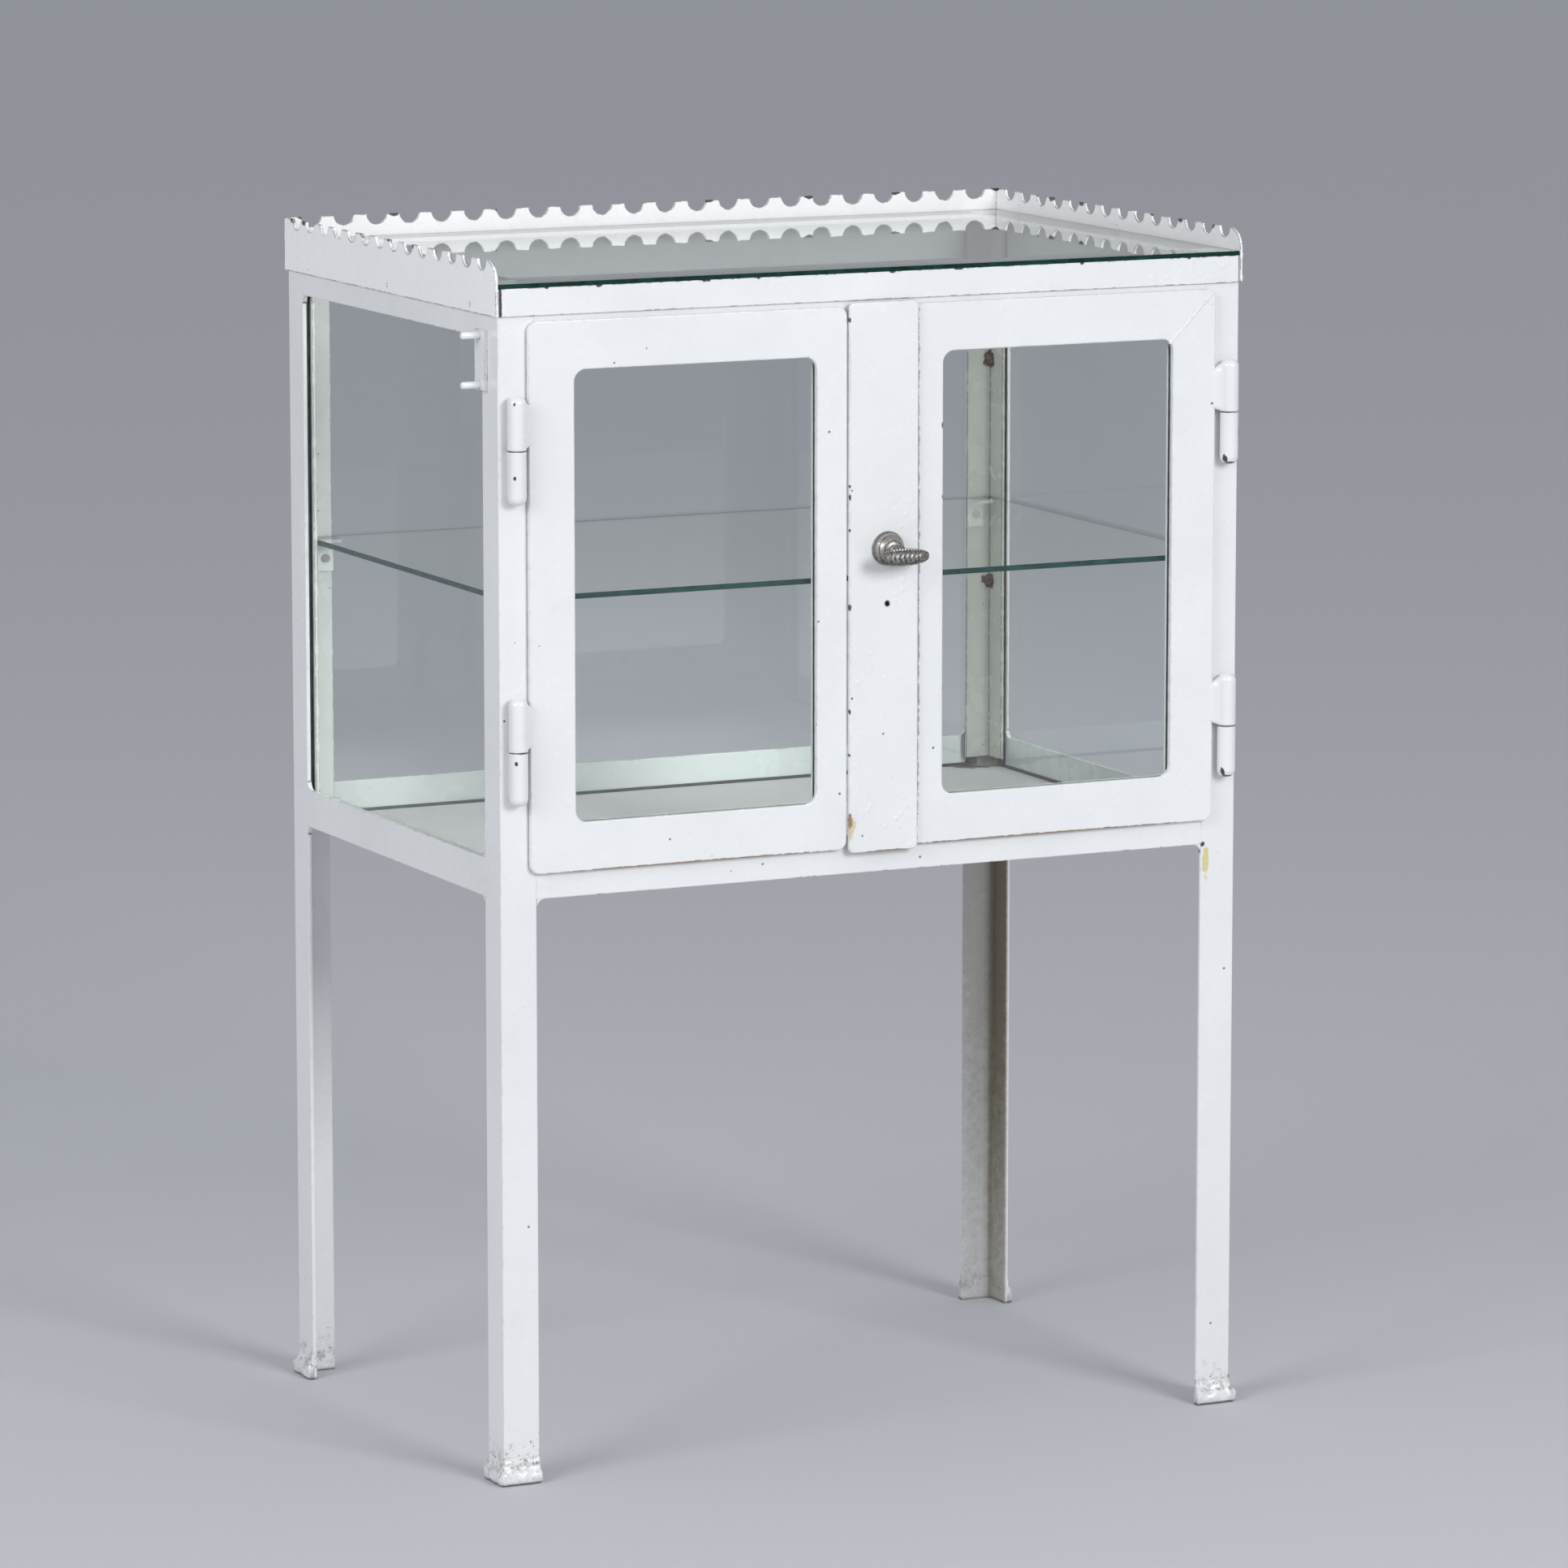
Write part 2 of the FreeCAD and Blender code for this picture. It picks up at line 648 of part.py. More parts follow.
# Cover strip: a flat bar on the right door that closes up to the edge of the left door.
strip = rounded_plate(strip_left, strip_right, door_bottom - strip_overrun, door_top + strip_overrun,
                      strip_corner_radius, strip_front, door_front)
strip = strip.makeFillet(door_edge_radius, edges_at(strip, lambda p: abs(p.y - strip_front) < 0.01))
strip_hole = cylinder(strip_hole_diameter / 2, V(handle_offset, strip_front, handle_height - strip_hole_drop),
                      V(0, 1, 0), strip_thickness)
spindle_hole = spindle_side / 2 * math.sqrt(2) + spindle_clearance
spindle_bore = cylinder(spindle_hole, V(handle_offset, strip_front, handle_height), V(0, 1, 0),
                        door_back - strip_front)
add("cover_strip", strip.cut(strip_hole).cut(spindle_bore))
pieces["right_door_frame"] = pieces["right_door_frame"].cut(spindle_bore)


# Hinges: lift-off barrels, the lower half welded to the post and the upper half to the door.
def hinge(split):
    """Post knuckle, pin and door knuckle of one hinge on the left side."""
    axis = V(-hinge_x, hinge_y, split)
    r = hinge_barrel / 2
    half = (hinge_length - hinge_split_gap) / 2
    lower = cylinder(r, axis - V(0, 0, half + hinge_split_gap / 2), V(0, 0, 1), half)
    upper = cylinder(r, axis + V(0, 0, hinge_split_gap / 2), V(0, 0, 1), half)
    lower = lower.makeFillet(hinge_dome, edges_at(lower, lambda p: p.z < split - half))
    upper = upper.makeFillet(hinge_dome, edges_at(upper, lambda p: p.z > split + half))
    pad = box(-hinge_x - hinge_pad_width / 2, -hinge_x + hinge_pad_width / 2, hinge_y, 0,
              split - half + r, split - hinge_split_gap)
    leaf_bottom = split + hinge_leaf_end
    leaf_height = half - r / 2 - hinge_leaf_end
    turn = math.radians(hinge_leaf_angle)
    corners = [V(-door_outer + hinge_leaf_lap, door_front, leaf_bottom),
               V(-hinge_x + r * math.cos(turn), hinge_y - r * math.sin(turn), leaf_bottom),
               V(-hinge_x, hinge_y, leaf_bottom), V(-hinge_x, door_front, leaf_bottom)]
    leaf = Part.Face(Part.makePolygon(corners + [corners[0]])).extrude(V(0, 0, leaf_height))
    pin_start = axis - V(0, 0, hinge_pin_depth)
    pin_length = 2 * hinge_pin_depth
    pin = cylinder(hinge_pin / 2, pin_start, V(0, 0, 1), pin_length)
    press = cylinder(hinge_pin / 2 + hinge_pin_press, pin_start, V(0, 0, 1), pin_length)
    running = cylinder(hinge_pin / 2 + hinge_pin_running, axis - V(0, 0, hinge_pin_depth), V(0, 0, 1),
                       pin_length + hinge_split_gap)
    return lower.fuse(pad).cut(press), pin, upper.fuse(leaf).cut(running)


left_hinges = [hinge(upper_hinge_height), hinge(left_lower_hinge_height)]
right_hinges = [[mirrored(s) for s in hinge(z)] for z in (upper_hinge_height, right_lower_hinge_height)]
add("hinge_post_knuckles", *[h[0] for h in left_hinges + right_hinges])
add("hinge_pins", *[h[1] for h in left_hinges + right_hinges])
add("left_hinge_leaves", *[h[2] for h in left_hinges])
add("right_hinge_leaves", *[h[2] for h in right_hinges])


# Handle: a domed rosette on the strip and a cast oval lever on a square spindle.
handle_axis = V(handle_offset, strip_front, handle_height)
rosette = cylinder(rosette_diameter / 2, handle_axis - V(0, rosette_foot + rosette_height, 0), V(0, 1, 0),
                   rosette_foot + rosette_height)
rosette_crown = edges_at(rosette, lambda p: p.y < strip_front - rosette_foot - rosette_height + 0.01)
rosette = rosette.makeFillet(rosette_dome, rosette_crown)
rosette_bore = cylinder(neck_diameter / 2 + spindle_clearance, handle_axis - V(0, reach_front, 0), V(0, 1, 0),
                        reach_front)
add("rosette", rosette.cut(rosette_bore))

neck_back = strip_front - rosette_foot
neck = cylinder(neck_diameter / 2, V(handle_offset, lever_centre_y, handle_height), V(0, 1, 0),
                neck_back - lever_centre_y)
neck = neck.makeFillet(neck_crown, edges_at(neck, lambda p: p.y < lever_centre_y + 0.01))
ball = Part.makeSphere(lever_height / 2)
stretch = FreeCAD.Matrix()
stretch.scale(lever_length / lever_height, lever_depth / lever_height, 1.0)
oval = ball.transformGeometry(stretch)
oval.translate(V(handle_offset + lever_lead, lever_centre_y, handle_height - lever_drop))
spindle_front = lever_centre_y + neck_crown
socket = box(handle_offset - spindle_side / 2, handle_offset + spindle_side / 2, spindle_front, neck_back,
             handle_height - spindle_side / 2, handle_height + spindle_side / 2)
add("handle_lever", neck.fuse(oval).cut(socket))

crank_front = door_back + crank_gap
crank_back = crank_front + crank_wall
spindle = box(handle_offset - spindle_side / 2, handle_offset + spindle_side / 2, spindle_front, crank_back,
              handle_height - spindle_side / 2, handle_height + spindle_side / 2)
add("handle_spindle", spindle)


# Crank on the inner end of the spindle, with a pin for each rod.
half_travel = math.radians(handle_travel_degrees / 2)
pin_side = crank_radius * math.cos(half_travel)
pin_rise = crank_radius * math.sin(half_travel)
crank_end = crank_pin_diameter / 2 + crank_pin_wall
plate = cylinder(spindle_hole + crank_end, V(handle_offset, crank_front, handle_height), V(0, 1, 0),
                 crank_wall)
for side in (-1, 1):
    spot = V(handle_offset + side * pin_side, crank_front, handle_height + side * pin_rise)
    plate = plate.fuse(cylinder(crank_end, spot, V(0, 1, 0), crank_wall))
    plate = plate.fuse(cylinder(crank_pin_diameter / 2, spot, V(0, 1, 0), rod_back - crank_front))
add("handle_crank", plate.cut(spindle))


# Rods: flat bars behind the lock stile, driven up and down by the crank pins.
def rod(side, end_height):
    """A rod on one side of the spindle, slotted for its crank pin, that ends at a height."""
    mid_x = handle_offset + side * (pin_side + crank_radius) / 2
    pin_z = handle_height + side * pin_rise
    slot_half = crank_pin_diameter / 2 + rod_slot_play
    foot = pin_z + side * (slot_half + rod_slot_wall)
    z0, z1 = sorted((foot, end_height))
    half = rod_width / 2
    bar = box(mid_x - half, mid_x + half, rod_front, rod_back, z0, z1)
    slot_reach = (crank_radius - pin_side) / 2 + slot_half
    slot = box(mid_x - slot_reach, mid_x + slot_reach, rod_front, rod_back,
               pin_z - slot_half, pin_z + slot_half)
    return bar.cut(slot), mid_x


upper_rod, upper_rod_x = rod(-1, window_top - rod_end_gap)
lower_rod, lower_rod_x = rod(1, bottom_rail_top + rod_end_gap)
add("upper_rod", upper_rod)
add("lower_rod", lower_rod)


def rod_guide(mid_x, height):
    """A block on the back of the stile that the rod slides through."""
    side = rod_width / 2 + guide_clearance
    outer = side + guide_wall
    block = box(mid_x - outer, mid_x + outer, door_back, rod_back + guide_clearance + guide_wall,
                height - guide_height / 2, height + guide_height / 2)
    return block.cut(box(mid_x - side, mid_x + side, rod_front - guide_clearance, rod_back + guide_clearance,
                         height - guide_height / 2, height + guide_height / 2))


add("rod_guides",
    rod_guide(upper_rod_x, opening_top - guide_end_inset),
    rod_guide(upper_rod_x, handle_height + guide_above_crank),
    rod_guide(lower_rod_x, opening_bottom + guide_end_inset),
    rod_guide(lower_rod_x, handle_height - guide_below_crank))

# Bolts of the left door: round rods with a finger knob, drawn back clear of the rails.
bolt_y = angle_wall + rod_gap + bolt_diameter / 2
seal_and_retainer = door_glass_lap + door_seal_wall + retainer_leg
bolt_x = (left_opening_inner + seal_and_retainer + left_door_edge) / 2


def bolt(end_height, inwards):
    """A bolt whose tip lies at a height and which runs inwards along the stile."""
    tip = V(bolt_x, bolt_y, end_height)
    bar = cylinder(bolt_diameter / 2, tip, V(0, 0, inwards), bolt_length)
    knob_spot = tip + V(0, 0, inwards * (bolt_length - bolt_knob_diameter))
    knob_reach = bolt_diameter / 2 + bolt_knob_length
    return bar.fuse(cylinder(bolt_knob_diameter / 2, knob_spot, V(0, 1, 0), knob_reach))


def bolt_guide(height):
    """A block on the back of the stile that the bolt slides through."""
    outer = bolt_diameter / 2 + guide_clearance + guide_wall
    block = box(bolt_x - outer, bolt_x + outer, door_back, bolt_y + outer,
                height - guide_height / 2, height + guide_height / 2)
    bore = cylinder(bolt_diameter / 2 + guide_clearance, V(bolt_x, bolt_y, height - guide_height / 2),
                    V(0, 0, 1), guide_height)
    return block.cut(bore)


upper_bolt_tip = window_top - rod_end_gap
lower_bolt_tip = bottom_rail_top + rod_end_gap
guide_near = guide_height / 2 + rod_end_gap
guide_far = bolt_length - bolt_knob_diameter * 2 - bolt_travel - guide_height / 2
add("left_upper_bolt", bolt(upper_bolt_tip, -1))
add("left_lower_bolt", bolt(lower_bolt_tip, 1))
add("left_bolt_guides",
    bolt_guide(upper_bolt_tip - guide_near), bolt_guide(upper_bolt_tip - guide_far),
    bolt_guide(lower_bolt_tip + guide_near), bolt_guide(lower_bolt_tip + guide_far))

# Holder: a plate with two pegs on the outer side of the front left post.
holder_face = -half_width - holder_wall
holder = box(holder_face, -half_width, holder_inset, holder_inset + holder_width,
             holder_height_centre - holder_height / 2, holder_height_centre + holder_height / 2)
for side in (-1, 1):
    spot = V(holder_face, holder_inset + holder_width / 2, holder_height_centre + side * peg_spacing / 2)
    peg = cylinder(peg_diameter / 2, spot, V(-1, 0, 0), peg_length)
    tip = edges_at(peg, lambda p: p.x < holder_face - peg_length + 0.01)
    holder = holder.fuse(peg.makeFillet(peg_tip_radius, tip))
add("side_holder", holder)

# Write each piece, moved so that the middle of the whole part stands over the origin.
for name, shape in pieces.items():
    placed = shape.copy()
    placed.translate(V(0, 0, 0) - origin)
    placed.exportStep("parts/" + name + ".step")

# Places that the joints and mounts are read from, in millimetres in the finished frame.
for label, place in [
    ("left hinge axis", V(-hinge_x, hinge_y, upper_hinge_height)),
    ("right hinge axis", V(hinge_x, hinge_y, upper_hinge_height)),
    ("handle axis", handle_axis),
    ("top glass centre", V(0, cabinet_depth / 2, post_height + top_glass_thickness)),
    ("front left foot", V(-half_width, 0, 0)),
    ("inside, lower corner", V(-shelf_end, shelf_front_gap, floor_top)),
    ("inside, upper corner", V(shelf_end, shelf_rear, post_height - angle_wall)),
]:
    print(label, [round(c, 3) for c in (place - origin)])
print("rod travel", round(2 * pin_rise, 4))
print("lever radians per metre of rod travel", round(half_travel / pin_rise * 1000, 4))
print("pieces", len(pieces), "solids", sum(len(s.Solids) for s in pieces.values()))
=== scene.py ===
import math

import bmesh
import bpy
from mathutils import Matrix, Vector
from mathutils import noise as lumps


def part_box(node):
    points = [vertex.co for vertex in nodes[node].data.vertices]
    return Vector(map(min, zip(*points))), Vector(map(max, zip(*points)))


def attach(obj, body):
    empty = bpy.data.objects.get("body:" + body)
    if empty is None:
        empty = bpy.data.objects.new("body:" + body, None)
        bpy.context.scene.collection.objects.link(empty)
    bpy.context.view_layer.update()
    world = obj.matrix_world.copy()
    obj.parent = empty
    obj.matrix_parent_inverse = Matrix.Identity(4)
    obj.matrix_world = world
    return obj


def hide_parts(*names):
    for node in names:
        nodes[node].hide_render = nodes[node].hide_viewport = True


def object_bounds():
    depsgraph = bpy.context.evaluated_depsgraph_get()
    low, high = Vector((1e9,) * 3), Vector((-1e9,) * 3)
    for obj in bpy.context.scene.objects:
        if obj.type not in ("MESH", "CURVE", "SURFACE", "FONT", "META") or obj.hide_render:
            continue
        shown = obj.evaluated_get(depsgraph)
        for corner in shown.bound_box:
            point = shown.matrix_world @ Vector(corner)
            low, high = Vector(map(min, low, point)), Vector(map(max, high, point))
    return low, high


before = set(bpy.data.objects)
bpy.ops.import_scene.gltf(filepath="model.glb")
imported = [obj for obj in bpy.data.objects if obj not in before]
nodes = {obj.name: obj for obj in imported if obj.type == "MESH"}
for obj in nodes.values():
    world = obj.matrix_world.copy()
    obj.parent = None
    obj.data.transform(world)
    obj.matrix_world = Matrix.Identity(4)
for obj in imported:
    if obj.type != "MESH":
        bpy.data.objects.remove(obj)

cad_low, cad_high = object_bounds()


# Corner posts: four full-height angle irons, brushed with several coats of gloss white enamel.
# The thick film is wavy and pitted, chipped to dark iron along the edges, grey with floor dirt at the
# feet, and darker on the inner faces of the rear right leg, partly grime and partly painted shade. All
# faces inside the case are greyed as painted shade.
def put(tree, kind, sockets=None, **settings):
    """Place a node, set its properties, and set or link its sockets."""
    node = tree.nodes.new(kind)
    for name, value in settings.items():
        setattr(node, name, value)
    for name, value in (sockets or {}).items():
        if isinstance(value, bpy.types.NodeSocket):
            tree.links.new(value, node.inputs[name])
        else:
            node.inputs[name].default_value = value
    return node


def new_group(name, inputs, outputs):
    """A shader node group with named sockets."""
    tree = bpy.data.node_groups.new(name, "ShaderNodeTree")
    for label, kind, value in inputs:
        tree.interface.new_socket(label, in_out="INPUT", socket_type=kind).default_value = value
    for label, kind in outputs:
        tree.interface.new_socket(label, in_out="OUTPUT", socket_type=kind)
    return tree, put(tree, "NodeGroupInput").outputs, put(tree, "NodeGroupOutput")


def noise(tree, place, scale, detail=3.0, rough=0.5):
    """Cloudy values over the surface."""
    sockets = {"Vector": place, "Scale": scale, "Detail": detail, "Roughness": rough}
    return put(tree, "ShaderNodeTexNoise", sockets).outputs["Fac"]


def ramp(tree, value, start, end, low=0.0, high=1.0):
    """A value brought from one range to another, held at both ends."""
    sockets = {"Value": value, "From Min": start, "From Max": end, "To Min": low, "To Max": high}
    return put(tree, "ShaderNodeMapRange", sockets).outputs["Result"]


def reckon(tree, operation, first, second=0.0):
    """One step of arithmetic."""
    return put(tree, "ShaderNodeMath", {0: first, 1: second}, operation=operation).outputs["Value"]


def vectors(tree, operation, first, second):
    """One step of arithmetic on vectors."""
    return put(tree, "ShaderNodeVectorMath", {0: first, 1: second}, operation=operation).outputs["Vector"]


def blend_colour(tree, share, under, over):
    """One colour laid over another by a mask."""
    node = put(tree, "ShaderNodeMix", data_type="RGBA")
    for index, value in ((0, share), (6, under), (7, over)):
        if isinstance(value, bpy.types.NodeSocket):
            tree.links.new(value, node.inputs[index])
        else:
            node.inputs[index].default_value = value
    return node.outputs[2]


def new_finish(name):
    """A material with its node tree and its main shader."""
    material = bpy.data.materials.new(name)
    material.use_nodes = True
    return material, material.node_tree, material.node_tree.nodes["Principled BSDF"]


worn_edges, given, result = new_group(
    "worn_edges",
    [("Width", "NodeSocketFloat", 0.0021), ("Amount", "NodeSocketFloat", 0.5),
     ("Scale", "NodeSocketFloat", 105.0)],
    [("Edge", "NodeSocketFloat"), ("Chips", "NodeSocketFloat")])
tree = worn_edges
rounded = put(tree, "ShaderNodeBevel", {"Radius": given["Width"]}, samples=6)
flat = put(tree, "ShaderNodeNewGeometry")
alike = put(tree, "ShaderNodeVectorMath", {0: rounded.outputs["Normal"], 1: flat.outputs["Normal"]},
            operation="DOT_PRODUCT")
edge = ramp(tree, alike.outputs["Value"], 0.995, 0.82)
place = put(tree, "ShaderNodeTexCoord").outputs["Object"]
patchy = noise(tree, place, given["Scale"], 5.0, 0.7)
level = reckon(tree, "SUBTRACT", 0.86, reckon(tree, "MULTIPLY", given["Amount"], 0.42))
above = reckon(tree, "SUBTRACT", patchy, level)
chipped = reckon(tree, "MULTIPLY", edge, ramp(tree, above, 0.0, 0.03))
tree.links.new(edge, result.inputs["Edge"])
tree.links.new(chipped, result.inputs["Chips"])

brushed_enamel, given, result = new_group(
    "brushed_enamel",
    [("White", "NodeSocketColor", (0.80, 0.81, 0.815, 1)),
     ("Shade", "NodeSocketColor", (0.70, 0.715, 0.72, 1)),
     ("Pits", "NodeSocketFloat", 0.5), ("Bubbles", "NodeSocketFloat", 0.5),
     ("Floor Dirt", "NodeSocketFloat", 1.0)],
    [("Color", "NodeSocketColor"), ("Roughness", "NodeSocketFloat"), ("Height", "NodeSocketFloat")])
tree = brushed_enamel
place = put(tree, "ShaderNodeTexCoord").outputs["Object"]
cloud = ramp(tree, noise(tree, place, 8.0, 4.0, 0.6), 0.35, 0.75)
colour = blend_colour(tree, reckon(tree, "MULTIPLY", cloud, 0.55), given["White"], given["Shade"])
smudge = ramp(tree, noise(tree, place, 42.0, 7.0, 0.7), 0.58, 0.80, 0.0, 0.14)
colour = blend_colour(tree, smudge, colour, (0.52, 0.52, 0.50, 1))
height_above_floor = put(tree, "ShaderNodeSeparateXYZ", {0: place}).outputs["Z"]
level = ramp(tree, height_above_floor, 0.014, 0.11, 0.47, 0.74)
smear = reckon(tree, "SUBTRACT", noise(tree, place, 85.0, 9.0, 0.8), level)
smear = ramp(tree, smear, 0.0, 0.14, 0.0, 0.55)
speckle = reckon(tree, "SUBTRACT", noise(tree, place, 260.0, 8.0, 0.75), level)
speckle = ramp(tree, speckle, 0.07, 0.12, 0.0, 0.9)
dirt = reckon(tree, "MAXIMUM", smear, speckle)
dirt = reckon(tree, "MULTIPLY", dirt, ramp(tree, height_above_floor, 0.009, 0.015, 0.30, 1.0))
under = ramp(tree, height_above_floor, 0.0035, 0.0008, 0.0, 0.85)
dirt = reckon(tree, "MULTIPLY", reckon(tree, "MAXIMUM", dirt, under), given["Floor Dirt"])
colour = blend_colour(tree, dirt, colour, (0.085, 0.078, 0.070, 1))
cells = put(tree, "ShaderNodeTexVoronoi", {"Vector": place, "Scale": 95.0})
rare = put(tree, "ShaderNodeSeparateColor", {0: cells.outputs["Color"]}).outputs["Red"]
rare = reckon(tree, "ADD", rare, reckon(tree, "MULTIPLY", given["Pits"], 0.06))
rare = ramp(tree, rare, 0.985, 0.99)
pit = reckon(tree, "MULTIPLY", ramp(tree, cells.outputs["Distance"], 0.14, 0.08), rare)
colour = blend_colour(tree, reckon(tree, "MULTIPLY", pit, 0.85), colour, (0.07, 0.055, 0.045, 1))
blisters = put(tree, "ShaderNodeTexVoronoi", {"Vector": place, "Scale": 120.0})
dome = put(tree, "ShaderNodeMapRange",
           {"Value": blisters.outputs["Distance"], "From Min": 0.42, "From Max": 0.0},
           interpolation_type="SMOOTHSTEP").outputs["Result"]
chosen = put(tree, "ShaderNodeSeparateColor", {0: blisters.outputs["Color"]}).outputs["Green"]
chosen = ramp(tree, chosen, 0.55, 0.60)
patch = ramp(tree, noise(tree, place, 6.0, 2.0, 0.5), 0.48, 0.62)
blister = reckon(tree, "MULTIPLY", reckon(tree, "MULTIPLY", dome, chosen), patch)
film = reckon(tree, "MULTIPLY", blister, reckon(tree, "MULTIPLY", given["Bubbles"], 0.60))
wave = reckon(tree, "MULTIPLY", noise(tree, place, 32.0, 2.0, 0.4), 0.35)
peel = reckon(tree, "MULTIPLY", noise(tree, place, 210.0, 2.0, 0.5), 0.05)
film = reckon(tree, "ADD", film, reckon(tree, "ADD", wave, peel))
film = reckon(tree, "SUBTRACT", film, reckon(tree, "MULTIPLY", pit, 0.25))
gloss = ramp(tree, noise(tree, place, 26.0, 3.0, 0.6), 0.3, 0.8, 0.20, 0.34)
gloss = reckon(tree, "ADD", gloss, reckon(tree, "MULTIPLY", dirt, 0.45))
tree.links.new(colour, result.inputs["Color"])
tree.links.new(gloss, result.inputs["Roughness"])
tree.links.new(film, result.inputs["Height"])

stain_patch, given, result = new_group(
    "stain_patch",
    [("Centre", "NodeSocketVector", (0, 0, 0)), ("Reach", "NodeSocketVector", (0.01, 0.01, 0.01)),
     ("Ragged", "NodeSocketFloat", 0.6), ("Core", "NodeSocketFloat", 0.75)],
    [("Mask", "NodeSocketFloat")])
tree = stain_patch
place = put(tree, "ShaderNodeTexCoord").outputs["Object"]
ragged = noise(tree, place, 130.0, 5.0, 0.7)
offset = vectors(tree, "DIVIDE", vectors(tree, "SUBTRACT", place, given["Centre"]), given["Reach"])
away = put(tree, "ShaderNodeVectorMath", {0: offset}, operation="LENGTH").outputs["Value"]
ragged = reckon(tree, "MULTIPLY", ramp(tree, ragged, 0.2, 0.8, -1.0, 1.0), given["Ragged"])
away = reckon(tree, "ADD", away, ragged)
tree.links.new(ramp(tree, away, 1.0, given["Core"]), result.inputs["Mask"])

inner_side, given, result = new_group(
    "inner_side", [("Low", "NodeSocketVector", (0, 0, 0)), ("High", "NodeSocketVector", (0, 0, 0))],
    [("Mask", "NodeSocketFloat")])
tree = inner_side
place = put(tree, "ShaderNodeTexCoord").outputs["Object"]
over = vectors(tree, "SUBTRACT", place, given["Low"])
under = vectors(tree, "SUBTRACT", given["High"], place)
least = vectors(tree, "MINIMUM", over, under)
least = put(tree, "ShaderNodeSeparateXYZ", {0: least}).outputs
least = reckon(tree, "MINIMUM", reckon(tree, "MINIMUM", least["X"], least["Y"]), least["Z"])
tree.links.new(ramp(tree, least, 0.0, 0.0005), result.inputs["Mask"])


def enamel(name, chips=0.45, pits=0.5, bubbles=0.5, floor_dirt=0.0, marks=(), grime_and_shade=(), dull=0.0, inside=None,
           white=(0.80, 0.81, 0.815), shade=(0.70, 0.715, 0.72)):
    """Gloss white brushed enamel over iron, with its own wear and stains, and painted shade where it is given.
    """
    material, tree, shader = new_finish(name)
    paint = put(tree, "ShaderNodeGroup", node_tree=brushed_enamel)
    for label, value in (("White", white + (1,)), ("Shade", shade + (1,)), ("Pits", pits),
                         ("Bubbles", bubbles), ("Floor Dirt", floor_dirt)):
        paint.inputs[label].default_value = value
    wear = put(tree, "ShaderNodeGroup", node_tree=worn_edges)
    wear.inputs["Amount"].default_value = chips
    rubbed = ramp(tree, wear.outputs["Edge"], 0.0, 1.0, 0.0, 0.18)
    colour = blend_colour(tree, rubbed, paint.outputs["Color"], (0.50, 0.50, 0.48, 1))
    bare = wear.outputs["Chips"]
    # Faces inside the case are greyed a little green: painted shade for the dimmer light behind the glass.
    if inside:
        hidden = put(tree, "ShaderNodeGroup", node_tree=inner_side)
        hidden.inputs["Low"].default_value, hidden.inputs["High"].default_value = inside
        inside_painted_shade = ramp(tree, hidden.outputs["Mask"], 0.0, 1.0, 0.0, 0.85)
        colour = blend_colour(tree, inside_painted_shade, colour, (0.47, 0.495, 0.48, 1))
    # The second list holds soft patches that are partly grime and partly painted shade.
    for spots, ragged, core in ((marks, 0.6, 0.75), (grime_and_shade, 0.12, 0.35)):
        for centre, reach, tint in spots:
            mark = put(tree, "ShaderNodeGroup", node_tree=stain_patch)
            for label, value in (("Centre", centre), ("Reach", reach), ("Ragged", ragged), ("Core", core)):
                mark.inputs[label].default_value = value
            colour = blend_colour(tree, mark.outputs["Mask"], colour, tint + (1,))
    colour = blend_colour(tree, bare, colour, (0.060, 0.048, 0.040, 1))
    rough = reckon(tree, "ADD", paint.outputs["Roughness"], reckon(tree, "MULTIPLY", bare, 0.4))
    rough = reckon(tree, "ADD", rough, dull)
    film = reckon(tree, "SUBTRACT", paint.outputs["Height"], reckon(tree, "MULTIPLY", bare, 0.25))
    soft_edge = put(tree, "ShaderNodeBevel", {"Radius": 0.0012}, samples=4)
    bump = put(tree, "ShaderNodeBump",
               {"Height": film, "Distance": 0.001, "Normal": soft_edge.outputs["Normal"]})
    tree.links.new(colour, shader.inputs["Base Color"])
    tree.links.new(rough, shader.inputs["Roughness"])
    tree.links.new(bump.outputs["Normal"], shader.inputs["Normal"])
    shader.inputs["Coat Weight"].default_value = 0.25 if dull == 0.0 else 0.0
    shader.inputs["Coat Roughness"].default_value = 0.12
    return material


def dress(material, *names):
    """Give CAD pieces their finish."""
    for name in names:
        for slot in nodes[name].material_slots:
            slot.material = material


frame_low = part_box("front_left_post")[0]
frame_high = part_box("rear_right_post")[1]
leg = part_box("front_left_post")[1].x - frame_low.x
rail_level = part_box("front_bottom_rail")[0].z
# The box inside the case, whose faces the enamel greys as painted shade.
inner_skin = Vector((0.0035, 0.0035, 0.0))
inner_low = Vector((frame_low.x, frame_low.y, rail_level)) + inner_skin
inner_high = frame_high - inner_skin
yellowed = (0.66, 0.58, 0.30)
# Near-black bare iron for chips, also used as painted shade in the gap at the fascia's left end.
bare_iron_and_gap_shade = (0.055, 0.045, 0.038)
grey_grime_and_shade = (0.34, 0.335, 0.315)
brown_grime_and_shade = (0.19, 0.16, 0.105)
flange_middle = 0.020
flange_skin = 0.0050
right_leg_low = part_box("front_right_post")[0]
post_marks = [
    ((right_leg_low.x + 0.0055, right_leg_low.y, rail_level - 0.016), (0.0036, 0.004, 0.018), yellowed),
    ((right_leg_low.x + 0.0015, right_leg_low.y, rail_level), (0.0036, 0.003, 0.0028), bare_iron_and_gap_shade)]
